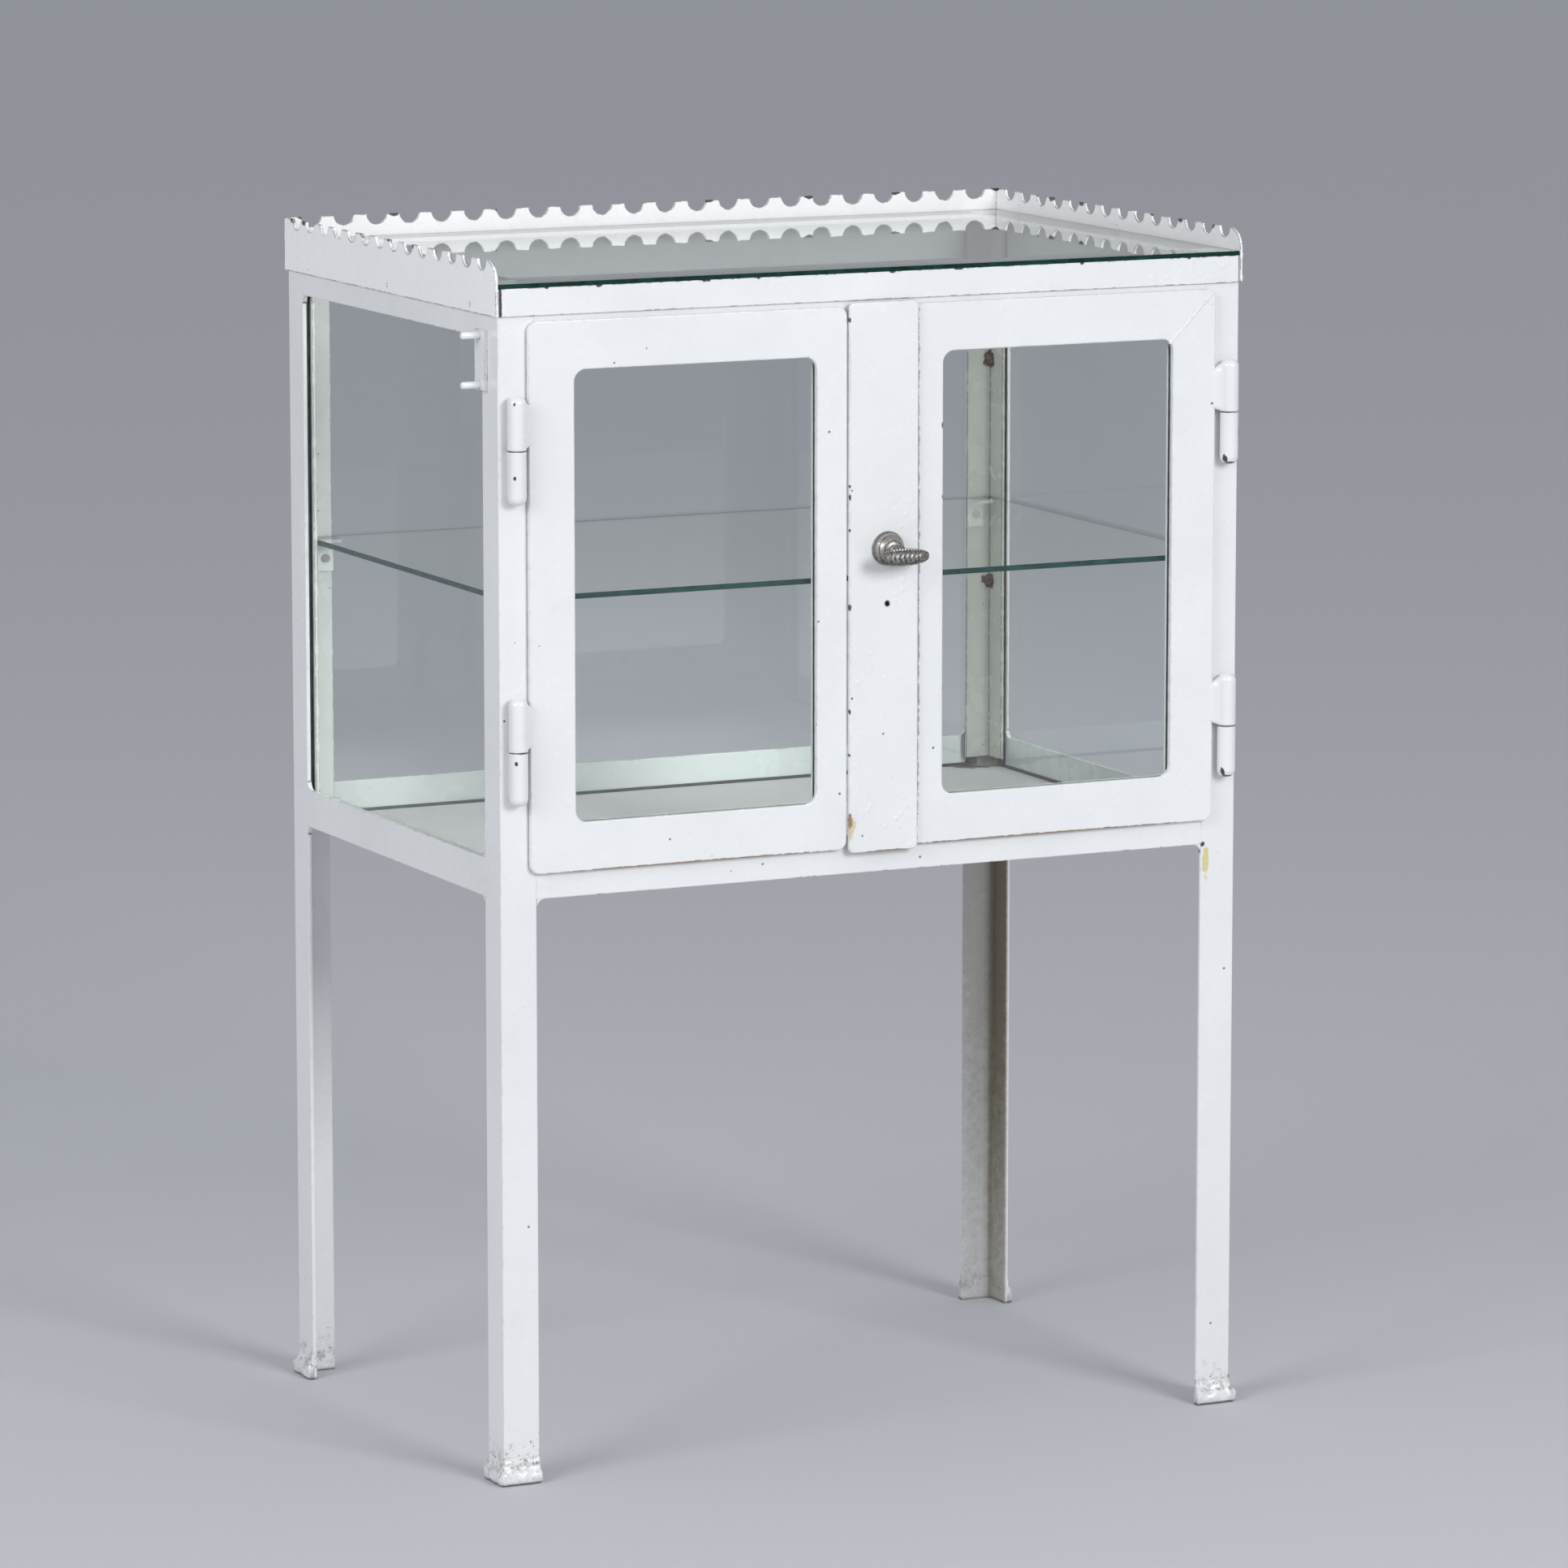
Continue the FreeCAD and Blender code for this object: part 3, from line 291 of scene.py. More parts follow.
# The two patches on the inner faces of the rear right leg are partly grime and partly painted shade.
leg_grime_and_shade = [
    ((frame_high.x - flange_middle, frame_high.y - flange_skin, rail_level - 0.05),
     (0.060, 0.0040, 0.80), grey_grime_and_shade),
    ((frame_high.x - flange_skin, frame_high.y - flange_middle, rail_level - 0.12),
     (0.0040, 0.060, 0.75), brown_grime_and_shade)]
post_enamel = enamel("post_enamel", chips=0.74, pits=0.6, floor_dirt=1.0, inside=(inner_low, inner_high),
                     marks=post_marks, grime_and_shade=leg_grime_and_shade)
dress(post_enamel, "front_left_post", "front_right_post", "rear_left_post", "rear_right_post")

# Feet: a thick forged lip is welded round the end of each post, lumpy under the paint. Dirt lies in
# the crease above it, and the broom has chipped it to black iron.
foot_enamel = enamel("foot_enamel", chips=0.95, pits=1.0, floor_dirt=1.0)
lip_profile = ((-0.0010, 0.0250), (0.0003, 0.0235), (0.0007, 0.0195), (0.0018, 0.0158), (0.0036, 0.0132),
               (0.0050, 0.0105), (0.0056, 0.0070), (0.0052, 0.0034), (0.0038, 0.0008), (-0.0010, 0.0))
lip_steps = 28


def close_rings(rings, start):
    """Faces that join a stack of equal rings and cap both ends, for points numbered from start."""
    count = len(rings[0])
    faces = []
    for i in range(len(rings) - 1):
        for j in range(count):
            here = start + i * count + j
            beside = start + i * count + (j + 1) % count
            faces.append((here, here + count, beside + count, beside))
    last = start + (len(rings) - 1) * count
    faces.append(tuple(range(start, start + count)))
    faces.append(tuple(range(last + count - 1, last - 1, -1)))
    return faces


def stacked(name, stacks, finish, body, slot, *replaced):
    """A smooth closed piece made of ring stacks, which stands in for nodes of the frame."""
    mesh = bpy.data.meshes.new(name)
    points, faces = [], []
    for rings in stacks:
        faces += close_rings(rings, len(points))
        points += [p for ring in rings for p in ring]
    mesh.from_pydata(points, [], faces)
    shell = bmesh.new()
    shell.from_mesh(mesh)
    bmesh.ops.recalc_face_normals(shell, faces=shell.faces)
    shell.to_mesh(mesh)
    shell.free()
    mesh.shade_smooth()
    mesh.materials.append(finish)
    piece = bpy.data.objects.new(name, mesh)
    bpy.context.scene.collection.objects.link(piece)
    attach(piece, body)
    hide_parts(*replaced)
    return mesh


foot_stacks = []
for corner_x, out_x in ((frame_low.x, -1), (frame_high.x, 1)):
    for corner_y, out_y in ((frame_low.y, -1), (frame_high.y, 1)):
        stations = []
        for i in range(lip_steps):
            stations.append((corner_x - out_x * leg * (1 - i / lip_steps), corner_y, 0, out_y, 1.0))
        for i in range(lip_steps // 2 + 1):
            turn = math.pi * i / (lip_steps // 2) / 2
            stations.append((corner_x, corner_y, out_x * math.sin(turn), out_y * math.cos(turn),
                             1.0 + 0.15 * math.sin(2 * turn)))
        for i in range(1, lip_steps + 1):
            stations.append((corner_x, corner_y - out_y * leg * i / lip_steps, out_x, 0, 1.0))
        rings = []
        for x, y, lean_x, lean_y, swell in stations:
            ring = []
            for out, up in lip_profile:
                lump = lumps.noise(Vector((x + 9 * lean_x * out, y + 9 * lean_y * out, up)) * 105.0)
                reach = out * (swell + 0.42 * lump)
                ring.append((x + lean_x * reach, y + lean_y * reach, up * (1.0 + 0.14 * lump)))
            rings.append(ring)
        foot_stacks.append(rings)
stacked("forged_feet", foot_stacks, foot_enamel, "cabinet", "white_paint", "foot_lips")

# Rails: eight angle irons butted between the posts and welded. The welds are filed flush and painted
# over, so only a faint bead still shows at each butt.
# The inner faces of the rails carry the same painted shade as the posts.
rail_enamel = enamel("rail_enamel", chips=0.66, pits=0.6, inside=(inner_low, inner_high))
dress(rail_enamel, "front_bottom_rail", "rear_bottom_rail", "left_bottom_rail", "right_bottom_rail",
      "front_top_rail", "rear_top_rail", "left_top_rail", "right_top_rail", "rail_weld_fillets")


def new_shape(name, inputs, output):
    """A geometry node tree with named inputs and one geometry output."""
    tree = bpy.data.node_groups.new(name, "GeometryNodeTree")
    for label, kind in inputs:
        tree.interface.new_socket(label, in_out="INPUT", socket_type=kind)
    tree.interface.new_socket(output, in_out="OUTPUT", socket_type="NodeSocketGeometry")
    return tree, put(tree, "NodeGroupInput").outputs


weld_bead, given = new_shape(
    "weld_bead", (("Seams", "NodeSocketGeometry"), ("Radius", "NodeSocketFloat"),
                  ("Unevenness", "NodeSocketFloat"), ("Finish", "NodeSocketMaterial")), "Beads")
tree = weld_bead
line = put(tree, "GeometryNodeMeshToCurve", {"Mesh": given["Seams"]})
line = put(tree, "GeometryNodeResampleCurve", {"Curve": line.outputs["Curve"], "Length": 0.002},
           mode="LENGTH")
ring = put(tree, "GeometryNodeCurvePrimitiveCircle", {"Resolution": 10, "Radius": given["Radius"]})
bead = put(tree, "GeometryNodeCurveToMesh",
           {"Curve": line.outputs["Curve"], "Profile Curve": ring.outputs["Curve"], "Fill Caps": True})
ripple = put(tree, "ShaderNodeTexNoise", {"Scale": 160.0, "Detail": 2.0})
ripple = vectors(tree, "SUBTRACT", ripple.outputs["Color"], (0.5, 0.5, 0.5))
ripple = put(tree, "ShaderNodeVectorMath", {0: ripple, "Scale": given["Unevenness"]}, operation="SCALE")
bead = put(tree, "GeometryNodeSetPosition",
           {"Geometry": bead.outputs["Mesh"], "Offset": ripple.outputs["Vector"]})
bead = put(tree, "GeometryNodeSetShadeSmooth", {"Geometry": bead.outputs["Geometry"]})
bead = put(tree, "GeometryNodeRealizeInstances", {"Geometry": bead.outputs["Geometry"]})
bead = put(tree, "GeometryNodeSetMaterial",
           {"Geometry": bead.outputs["Geometry"], "Material": given["Finish"]})
put(tree, "NodeGroupOutput", {"Beads": bead.outputs["Geometry"]})


def grow(name, mesh, tree, values, body):
    """Run a node tree on a mesh, keep the result as a plain mesh and let it ride on a body."""
    piece = bpy.data.objects.new(name, mesh)
    bpy.context.scene.collection.objects.link(piece)
    shape = piece.modifiers.new("shape", "NODES")
    shape.node_group = tree
    for item in tree.interface.items_tree:
        if item.in_out == "INPUT" and item.name in values:
            shape[item.identifier] = values[item.name]
    depsgraph = bpy.context.evaluated_depsgraph_get()
    made = bpy.data.meshes.new_from_object(piece.evaluated_get(depsgraph), depsgraph=depsgraph)
    piece.modifiers.remove(shape)
    piece.data = made
    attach(piece, body)
    return piece


def seams(name, lines):
    """A mesh of single edges, one for each seam."""
    mesh = bpy.data.meshes.new(name)
    points = [p for pair in lines for p in pair]
    mesh.from_pydata(points, [(i, i + 1) for i in range(0, len(points), 2)], [])
    return mesh


bottom_rail_low, bottom_rail_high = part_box("front_bottom_rail")
top_rail_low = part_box("front_top_rail")[0]
weld_sink = 0.00105
weld_lines = []
for z0, z1 in ((bottom_rail_low.z, bottom_rail_high.z), (top_rail_low.z, frame_high.z)):
    for x in (frame_low.x + leg, frame_high.x - leg):
        for y in (frame_low.y + weld_sink, frame_high.y - weld_sink):
            weld_lines.append(((x, y, z0), (x, y, z1)))
    for y in (frame_low.y + leg, frame_high.y - leg):
        for x in (frame_low.x + weld_sink, frame_high.x - weld_sink):
            weld_lines.append(((x, y, z0), (x, y, z1)))
grow("rail_weld_beads", seams("rail_seams", weld_lines), weld_bead,
     {"Radius": 0.0012, "Unevenness": 0.0003, "Finish": rail_enamel}, "cabinet")

# Floor panel: one sheet lying on the rails, its corners cut clear of the posts. The paint here is
# worn matt and grey by bottles, and darker at the rear corners.
panel_low, panel_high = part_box("floor_panel")
floor_enamel = enamel("floor_enamel", chips=0.55, pits=1.0, marks=[
    ((panel_high.x - 0.023, panel_high.y - 0.010, panel_high.z), (0.030, 0.020, 0.004), (0.10, 0.075, 0.055)),
    ((panel_low.x + 0.018, panel_high.y - 0.010, panel_high.z), (0.022, 0.016, 0.004), (0.16, 0.13, 0.10))],
    white=(0.58, 0.58, 0.575), shade=(0.49, 0.49, 0.48), bubbles=0.2, dull=0.32)
dress(floor_enamel, "floor_panel")

# Fixed panes: float glass on three sides, standing in black rubber channels. The faces carry a faint
# film of dust and wiping marks, and the cut edge is a deep bottle green.
float_glass, tree, shader = new_finish("float_glass")
shader.inputs["Transmission Weight"].default_value = 1.0
shader.inputs["IOR"].default_value = 1.5
place = put(tree, "ShaderNodeTexCoord").outputs["Object"]
wiped = put(tree, "ShaderNodeMapping", {"Vector": place, "Scale": (5.0, 5.0, 22.0)}).outputs["Vector"]
dust = ramp(tree, noise(tree, wiped, 1.6, 5.0, 0.6), 0.52, 0.80)
tint = blend_colour(tree, dust, (0.968, 0.988, 0.984, 1), (0.955, 0.975, 0.970, 1))
tree.links.new(tint, shader.inputs["Base Color"])
tree.links.new(ramp(tree, dust, 0.0, 1.0, 0.0, 0.02), shader.inputs["Roughness"])
ray = put(tree, "ShaderNodeLightPath")
through = put(tree, "ShaderNodeBsdfTransparent", {"Color": (0.958, 0.974, 0.970, 1)})
mix = put(tree, "ShaderNodeMixShader",
          {0: ray.outputs["Is Shadow Ray"], 1: shader.outputs["BSDF"], 2: through.outputs["BSDF"]})
tree.links.new(mix.outputs["Shader"], tree.nodes["Material Output"].inputs["Surface"])

cut_edge, tree, shader = new_finish("cut_edge")
shader.inputs["Specular IOR Level"].default_value = 0.2
place = put(tree, "ShaderNodeTexCoord").outputs["Object"]
chatter = ramp(tree, noise(tree, place, 60.0, 5.0, 0.7), 0.35, 0.75)
tint = blend_colour(tree, chatter, (0.0004, 0.017, 0.013, 1), (0.0015, 0.042, 0.033, 1))
tree.links.new(tint, shader.inputs["Base Color"])
tree.links.new(ramp(tree, chatter, 0.0, 1.0, 0.22, 0.38), shader.inputs["Roughness"])


def glass_plate(node, thin_axis, body):
    """A pane with clear faces and a green edge, in place of its node."""
    mesh = nodes[node].data.copy()
    mesh.materials.clear()
    mesh.materials.append(float_glass)
    mesh.materials.append(cut_edge)
    shell = bmesh.new()
    shell.from_mesh(mesh)
    bmesh.ops.remove_doubles(shell, verts=shell.verts, dist=0.000001)
    shell.normal_update()
    for face in shell.faces:
        face.material_index = 0 if abs(face.normal.dot(thin_axis)) > 0.5 else 1
    shell.to_mesh(mesh)
    shell.free()
    piece = bpy.data.objects.new(node + "_plate", mesh)
    bpy.context.scene.collection.objects.link(piece)
    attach(piece, body)
    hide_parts(node)


across, along, upward = Vector((1, 0, 0)), Vector((0, 1, 0)), Vector((0, 0, 1))
glass_plate("left_pane", across, "cabinet")
glass_plate("right_pane", across, "cabinet")
glass_plate("rear_pane", along, "cabinet")


def bedding(name, dark, bloomed):
    """Old rubber or putty, cracked and bloomed in patches."""
    material, tree, shader = new_finish(name)
    place = put(tree, "ShaderNodeTexCoord").outputs["Object"]
    bloom = ramp(tree, noise(tree, place, 70.0, 6.0, 0.7), 0.40, 0.80)
    tree.links.new(blend_colour(tree, bloom, dark + (1,), bloomed + (1,)), shader.inputs["Base Color"])
    tree.links.new(ramp(tree, bloom, 0.0, 1.0, 0.45, 0.75), shader.inputs["Roughness"])
    cracks = put(tree, "ShaderNodeBump", {"Height": noise(tree, place, 420.0, 4.0, 0.6), "Distance": 0.0002})
    tree.links.new(cracks.outputs["Normal"], shader.inputs["Normal"])
    return material


dress(bedding("black_rubber", (0.012, 0.012, 0.012), (0.075, 0.073, 0.068)), "pane_channels")

# Clamp angles and bars: light irons that press the pane edges into the corner posts, each held by two
# round-headed screws. The heads have rusted, and the rust has run down the paint below them.
left_clamp_low, left_clamp_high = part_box("rear_left_clamp_angle")
right_clamp_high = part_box("rear_right_clamp_angle")[1]
screws_low, screws_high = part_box("clamp_screws")
head_inset = 0.0060
root_inset = 0.0048
screw_levels = (screws_low.z + head_inset, screws_high.z - head_inset)
corner_y = left_clamp_high.y - root_inset
corners = ((left_clamp_low.x + root_inset, 1), (right_clamp_high.x - root_inset, -1))
rust_marks = []
for z in screw_levels:
    for x, inward in corners:
        rust_marks.append(((x, corner_y, z), (0.0080, 0.0080, 0.0085), (0.075, 0.045, 0.030)))
        rust_marks.append(((x, corner_y, z - 0.018), (0.0016, 0.0016, 0.014), (0.12, 0.085, 0.060)))
clamp_enamel = enamel("clamp_enamel", chips=1.0, pits=1.0, marks=rust_marks,
                      white=(0.43, 0.44, 0.40), shade=(0.32, 0.325, 0.29))
dress(clamp_enamel, "rear_right_clamp_angle", "front_left_clamp_bar", "front_right_clamp_bar")
dress(enamel("left_clamp_enamel", chips=1.0, pits=1.0, marks=rust_marks, white=(0.68, 0.70, 0.67),
             shade=(0.58, 0.60, 0.56)), "rear_left_clamp_angle")

slotted_screw, given = new_shape(
    "slotted_screw", (("Places", "NodeSocketGeometry"), ("Head Radius", "NodeSocketFloat"),
                      ("Head Height", "NodeSocketFloat"), ("Slot Width", "NodeSocketFloat"),
                      ("Slotted", "NodeSocketBool"), ("Finish", "NodeSocketMaterial")), "Screws")
tree = slotted_screw
ball = put(tree, "GeometryNodeMeshUVSphere", {"Segments": 28, "Rings": 14, "Radius": 1.0})
squash = put(tree, "ShaderNodeCombineXYZ",
             {"X": given["Head Radius"], "Y": given["Head Radius"], "Z": given["Head Height"]})
head = put(tree, "GeometryNodeTransform",
           {"Geometry": ball.outputs["Mesh"], "Scale": squash.outputs["Vector"]})
wide = reckon(tree, "MULTIPLY", given["Head Radius"], 3.0)
blade = put(tree, "ShaderNodeCombineXYZ", {"X": wide, "Y": given["Slot Width"], "Z": given["Head Height"]})
blade = put(tree, "GeometryNodeMeshCube", {"Size": blade.outputs["Vector"]})
lift = put(tree, "ShaderNodeCombineXYZ", {"Z": reckon(tree, "MULTIPLY", given["Head Height"], 1.15)})
blade = put(tree, "GeometryNodeTransform",
            {"Geometry": blade.outputs["Mesh"], "Translation": lift.outputs["Vector"]})
cut = put(tree, "GeometryNodeMeshBoolean",
          {"Mesh 1": head.outputs["Geometry"], "Mesh 2": blade.outputs["Geometry"]}, operation="DIFFERENCE")
head = put(tree, "GeometryNodeSwitch",
           {"Switch": given["Slotted"], "False": head.outputs["Geometry"], "True": cut.outputs["Mesh"]},
           input_type="GEOMETRY")
facing = put(tree, "GeometryNodeInputNamedAttribute", {"Name": "facing"}, data_type="FLOAT_VECTOR")
quarter = put(tree, "GeometryNodeInputNamedAttribute", {"Name": "quarter_turn"}, data_type="FLOAT")
spin = put(tree, "ShaderNodeCombineXYZ", {"Z": quarter.outputs["Attribute"]})
spin = put(tree, "FunctionNodeEulerToRotation", {"Euler": spin.outputs["Vector"]})
aim = put(tree, "FunctionNodeAlignRotationToVector", {"Vector": facing.outputs["Attribute"]}, axis="Z")
aim = put(tree, "FunctionNodeRotateRotation",
          {"Rotation": aim.outputs["Rotation"], "Rotate By": spin.outputs["Rotation"]},
          rotation_space="LOCAL")
heads = put(tree, "GeometryNodeInstanceOnPoints",
            {"Points": given["Places"], "Instance": head.outputs["Output"],
             "Rotation": aim.outputs["Rotation"]})
heads = put(tree, "GeometryNodeRealizeInstances", {"Geometry": heads.outputs["Instances"]})
heads = put(tree, "GeometryNodeSetMaterial",
            {"Geometry": heads.outputs["Geometry"], "Material": given["Finish"]})
put(tree, "NodeGroupOutput", {"Screws": heads.outputs["Geometry"]})


def screw_places(name, spots):
    """A mesh of points that each know which way their screw faces."""
    mesh = bpy.data.meshes.new(name)
    mesh.from_pydata([place for place, facing in spots], [], [])
    mesh.attributes.new("facing", "FLOAT_VECTOR", "POINT")
    mesh.attributes.new("quarter_turn", "FLOAT", "POINT")
    for i, (place, facing) in enumerate(spots):
        mesh.attributes["facing"].data[i].vector = facing
        mesh.attributes["quarter_turn"].data[i].value = (i * 2.4) % math.pi
    return mesh


def aged_metal(name, bright, dark, rust_share, rough=0.38):
    """Bare metal gone dull, with rust where the share is high."""
    material, tree, shader = new_finish(name)
    place = put(tree, "ShaderNodeTexCoord").outputs["Object"]
    dull = ramp(tree, noise(tree, place, 190.0, 6.0, 0.65), 0.30, 0.75)
    rusty = ramp(tree, noise(tree, place, 110.0, 8.0, 0.75), 0.72 - 0.5 * rust_share, 0.80 - 0.5 * rust_share)
    colour = blend_colour(tree, dull, bright + (1,), dark + (1,))
    browns = blend_colour(tree, dull, (0.105, 0.055, 0.032, 1), (0.040, 0.024, 0.016, 1))
    tree.links.new(blend_colour(tree, rusty, colour, browns), shader.inputs["Base Color"])
    tree.links.new(ramp(tree, rusty, 0.0, 1.0, 1.0, 0.05), shader.inputs["Metallic"])
    tree.links.new(reckon(tree, "ADD", ramp(tree, dull, 0.0, 1.0, rough - 0.08, rough + 0.12),
                          reckon(tree, "MULTIPLY", rusty, 0.35)), shader.inputs["Roughness"])
    grain = put(tree, "ShaderNodeBump", {"Height": noise(tree, place, 900.0, 4.0, 0.6), "Distance": 0.00025})
    tree.links.new(grain.outputs["Normal"], shader.inputs["Normal"])
    return material


rusty_screws = aged_metal("rusty_screws", (0.30, 0.27, 0.24), (0.12, 0.10, 0.09), 0.75, 0.5)
clamp_spots = []
for z in screw_levels:
    for x, inward in corners:
        clamp_spots.append(((x, corner_y, z), (inward * math.sqrt(0.5), -math.sqrt(0.5), 0.0)))
    for x, inward in ((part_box("front_left_clamp_bar")[1].x, 1), (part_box("front_right_clamp_bar")[0].x, -1)):
        clamp_spots.append(((x, screws_low.y + 0.0055, z), (inward, 0.0, 0.0)))
clamp_heads = grow("clamp_screw_heads", screw_places("clamp_screw_places", clamp_spots), slotted_screw,
                   {"Head Radius": 0.0055, "Head Height": 0.0034, "Slot Width": 0.0012, "Slotted": True,
                    "Finish": rusty_screws}, "cabinet")
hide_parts("clamp_screws")

# Tray: a plain fascia in front and a notched gallery of sheet iron on the other three sides, riveted
# to the posts and rails. The thin edges of the notches have lost the most paint.
gallery_chips = 26
frame_span = frame_high - frame_low
gallery_marks = []
for i in range(gallery_chips):
    share = (0.02 + 0.618 * i) % 1.0
    if i % 3 == 0:
        tip = (frame_low.x + frame_span.x * share, frame_high.y, cad_high.z)
    else:
        side_x = (frame_low.x, frame_high.x)[i % 2]
        tip = (side_x, frame_low.y + frame_span.y * share, cad_high.z)
    gallery_marks.append((tip, (0.0060, 0.0060, 0.0030 + 0.0010 * (i % 3)), bare_iron_and_gap_shade))
# The gallery's white is brighter than the other enamels: painted light for the light it catches from the front
# and off the top glass.
gallery_lit_enamel = enamel("gallery_lit_enamel", chips=0.92, pits=0.7, bubbles=0.2, marks=gallery_marks,
                        white=(0.92, 0.925, 0.93), shade=(0.86, 0.865, 0.87))
fascia_low, fascia_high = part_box("front_fascia")
# The first mark is painted shade: a dark line down the fascia's left end for the gap there. The rest are chips
# along the top edge.
fascia_marks = [
    ((fascia_low.x, fascia_low.y, (fascia_low.z + fascia_high.z) / 2), (0.0015, 0.004, 0.030), bare_iron_and_gap_shade)]
for i, share in enumerate((0.06, 0.13, 0.27, 0.34, 0.52, 0.61, 0.78, 0.93)):
    chip_x = fascia_low.x + (fascia_high.x - fascia_low.x) * share
    chip_reach = (0.0022 + 0.0012 * (i % 3), 0.004, 0.0020)
    fascia_marks.append(((chip_x, fascia_low.y, fascia_high.z), chip_reach, bare_iron_and_gap_shade))
fascia_enamel = enamel("fascia_enamel", chips=0.80, pits=0.6, marks=fascia_marks)
dress(gallery_lit_enamel, "left_gallery", "rear_gallery", "right_gallery")
dress(fascia_enamel, "front_fascia")
rivet_level = (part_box("tray_rivets")[0].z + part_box("tray_rivets")[1].z) / 2
outer = 0.0025
rivet_inset = 0.055
rivet_spots = []
for y in (frame_low.y + rivet_inset, (frame_low.y + frame_high.y) / 2, frame_high.y - rivet_inset):
    rivet_spots.append(((frame_low.x - outer, y, rivet_level), (-1.0, 0.0, 0.0)))
    rivet_spots.append(((frame_high.x + outer, y, rivet_level), (1.0, 0.0, 0.0)))
for x in (frame_low.x + rivet_inset, (frame_low.x + frame_high.x) / 2, frame_high.x - rivet_inset):
    rivet_spots.append(((x, frame_high.y + outer, rivet_level), (0.0, 1.0, 0.0)))
rivet_heads = grow("tray_rivet_heads", screw_places("tray_rivet_places", rivet_spots), slotted_screw,
                   {"Head Radius": 0.0025, "Head Height": 0.0008, "Slot Width": 0.0005, "Slotted": False,
                    "Finish": gallery_lit_enamel}, "cabinet")
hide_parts("tray_rivets")

# Top glass and shelf: loose plates with ground edges, green along the edge. The top lies inside the
# gallery, the shelf on four bent brackets.
glass_plate("top_glass", upward, "cabinet")
glass_plate("shelf_glass", upward, "cabinet")
bracket_enamel = enamel("bracket_enamel", chips=0.6, pits=0.6)
dress(bracket_enamel, "shelf_brackets")
dull_screws = aged_metal("dull_screws", (0.42, 0.40, 0.37), (0.20, 0.18, 0.16), 0.25)
dress(dull_screws, "shelf_bracket_screws")

# Doors: two frames of flat bar with round corners, each with a pane bedded in putty and pressed in
# from behind by a screwed retainer. The bars are mitred, and one weld shows through the paint. Rust
# has crept out of the lower edges. The near black inside the small hole in the strip is painted shade,
# and a dark grey line along the strip's right edge is painted shadow.
strip_low, strip_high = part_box("cover_strip")
rosette_low, rosette_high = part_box("rosette")
handle_x = (rosette_low.x + rosette_high.x) / 2
handle_z = (rosette_low.z + rosette_high.z) / 2
strip_hole = (handle_x, strip_high.y, handle_z - 0.0500)
# Painted shade: near black inside the small hole in the strip, on the door behind it and on the hole's wall.
hole_shade = (strip_hole, (0.0034, 0.0060, 0.0034), (0.012, 0.011, 0.010))
rust_line = (0.34, 0.25, 0.16)
strip_middle = (strip_low.z + strip_high.z) / 2
# Painted shadow: a dark grey line on the door along the strip's right edge, where the strip stands proud.
strip_edge_shadow = ((strip_high.x, strip_high.y, strip_middle), (0.0036, 0.003, 0.34), (0.33, 0.335, 0.34))
door_marks = [hole_shade, strip_edge_shadow]
left_lock_stile = 0.0316
right_lock_stile = 0.0750
left_window_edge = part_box("left_door_frame")[1].x - left_lock_stile
right_window_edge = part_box("right_door_frame")[0].x + right_lock_stile
chip_tint = (0.085, 0.070, 0.058)


def chips_along(edge_x, y, shares):
    """Small chips of uneven size on an upright edge, at shares of the strip's height."""
    marks = []
    for i, share in enumerate(shares):
        reach = (0.0011 + 0.0003 * (i % 3), 0.0040, 0.0015 + 0.0009 * (2 * i % 5 / 2))
        marks.append(((edge_x, y, strip_low.z + (strip_high.z - strip_low.z) * share), reach, chip_tint))
    return marks


door_marks += chips_along(left_window_edge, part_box("left_door_frame")[0].y,
                          (0.15, 0.20, 0.24, 0.31, 0.46, 0.77, 0.82))
door_marks += chips_along(right_window_edge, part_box("right_door_frame")[0].y, (0.29, 0.64, 0.77))
for name in ("left_door_frame", "right_door_frame"):
    low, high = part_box(name)
    lower_edge = ((low.x + high.x) / 2, low.y, low.z)
    door_marks.append((lower_edge, ((high.x - low.x) * 0.47, 0.0040, 0.0017), rust_line))
door_enamel = enamel("door_enamel", chips=0.82, pits=0.9, bubbles=1.0, marks=door_marks)
dress(door_enamel, "left_door_frame", "right_door_frame")
door_low, door_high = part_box("right_door_frame")
mitre_y = door_low.y + 0.0006
mitre_outer = (door_high.x - 0.0050, mitre_y, door_high.z - 0.0055)
mitre_inner = (door_high.x - 0.0480, mitre_y, door_high.z - 0.0480)
grow("mitre_weld", seams("mitre_seam", [(mitre_outer, mitre_inner)]), weld_bead,
     {"Radius": 0.0013, "Unevenness": 0.0006, "Finish": door_enamel}, "right_door")
dress(enamel("retainer_enamel", chips=0.5, pits=0.6), "left_door_retainer", "right_door_retainer")
glass_plate("left_door_glass", along, "left_door")
glass_plate("right_door_glass", along, "right_door")
dress(bedding("grey_putty", (0.22, 0.255, 0.25), (0.33, 0.36, 0.35)), "left_door_seal", "right_door_seal")
dress(dull_screws, "left_retainer_screws", "right_retainer_screws")

